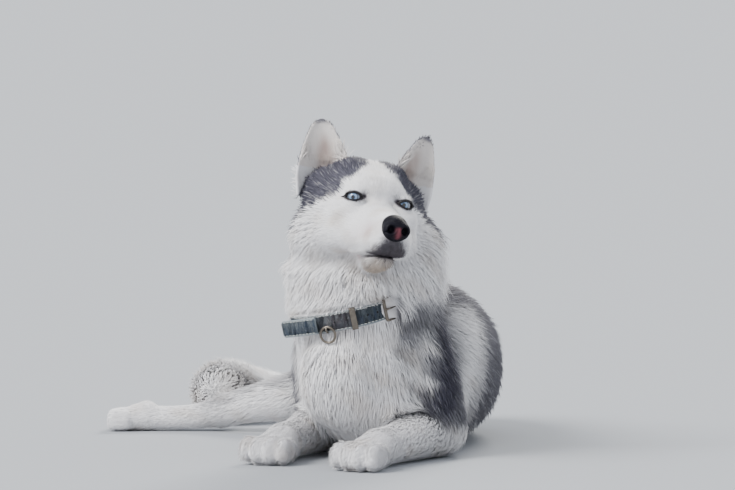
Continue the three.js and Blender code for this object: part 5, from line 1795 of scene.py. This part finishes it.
# Stage: a pale floor, a bright surround, and two soft suns, one from the front left and one from behind.
FLOOR_HALF = 60000  # so wide that its edge can't be told from the surround
SURROUND = np.array([0.95, 0.99, 1.05])
LIGHTS = {
    "key": ((0.85, 0.6, -0.85), 4.2, 0.5, (1.0, 0.985, 0.96)),
    "rim": ((-0.3, -0.9, -0.7), 3.0, 0.35, (1.0, 0.965, 0.9)),
}


def sun(name, ahead, strength, spread_angle, colour):
    data = bpy.data.lights.new(name, "SUN")
    data.energy = strength
    data.angle = spread_angle
    data.color = colour
    made = bpy.data.objects.new(name, data)
    made.rotation_euler = Vector(ahead).to_track_quat("-Z", "Y").to_euler()
    bpy.context.scene.collection.objects.link(made)


def stage_mesh():
    """The floor's colour is such that it looks as bright as the surround."""
    steps = 24
    axis = np.linspace(-FLOOR_HALF, FLOOR_HALF, steps)
    grid = np.stack(np.meshgrid(axis, axis, indexing="ij"), -1).reshape(-1, 2)
    points = np.concatenate([grid, np.zeros((len(grid), 1))], 1)
    faces = [(i * steps + j, (i + 1) * steps + j, (i + 1) * steps + j + 1, i * steps + j + 1)
             for i in range(steps - 1) for j in range(steps - 1)]
    received = SURROUND.copy()
    for ahead, strength, _, colour in LIGHTS.values():
        down = -unit(np.array(ahead))[2]
        received = received + strength * down / math.pi * np.array(colour)
    floor_look = Look("floor", (*(SURROUND / received), 1.0), 1.0, specular=0.0)
    sizes = np.full(len(faces), 4)
    make_mesh("floor", points, np.array(faces).ravel(), sizes, floor_look.material, smooth=False)


stage_mesh()
for name, settings in LIGHTS.items():
    sun(name, *settings)
world = bpy.data.worlds.new("studio")
world.use_nodes = True
world.node_tree.nodes["Background"].inputs["Color"].default_value = (*SURROUND, 1)
world.node_tree.nodes["Background"].inputs["Strength"].default_value = 1.0
bpy.context.scene.world = world

# Camera: the photo's distance, height and angle.
CAMERA_AT = (-0.025, -3.34, 0.35)
CAMERA_DOWN = 0.82
CAMERA_LENS = 112.85  # millimetres, on a sensor 36 mm wide
camera_data = bpy.data.cameras.new("camera")
camera_data.sensor_width = 36
camera_data.lens = CAMERA_LENS
camera = bpy.data.objects.new("camera", camera_data)
camera.location = CAMERA_AT
camera.rotation_euler = (math.radians(90 - CAMERA_DOWN), 0, 0)
bpy.context.scene.collection.objects.link(camera)
bpy.context.scene.camera = camera
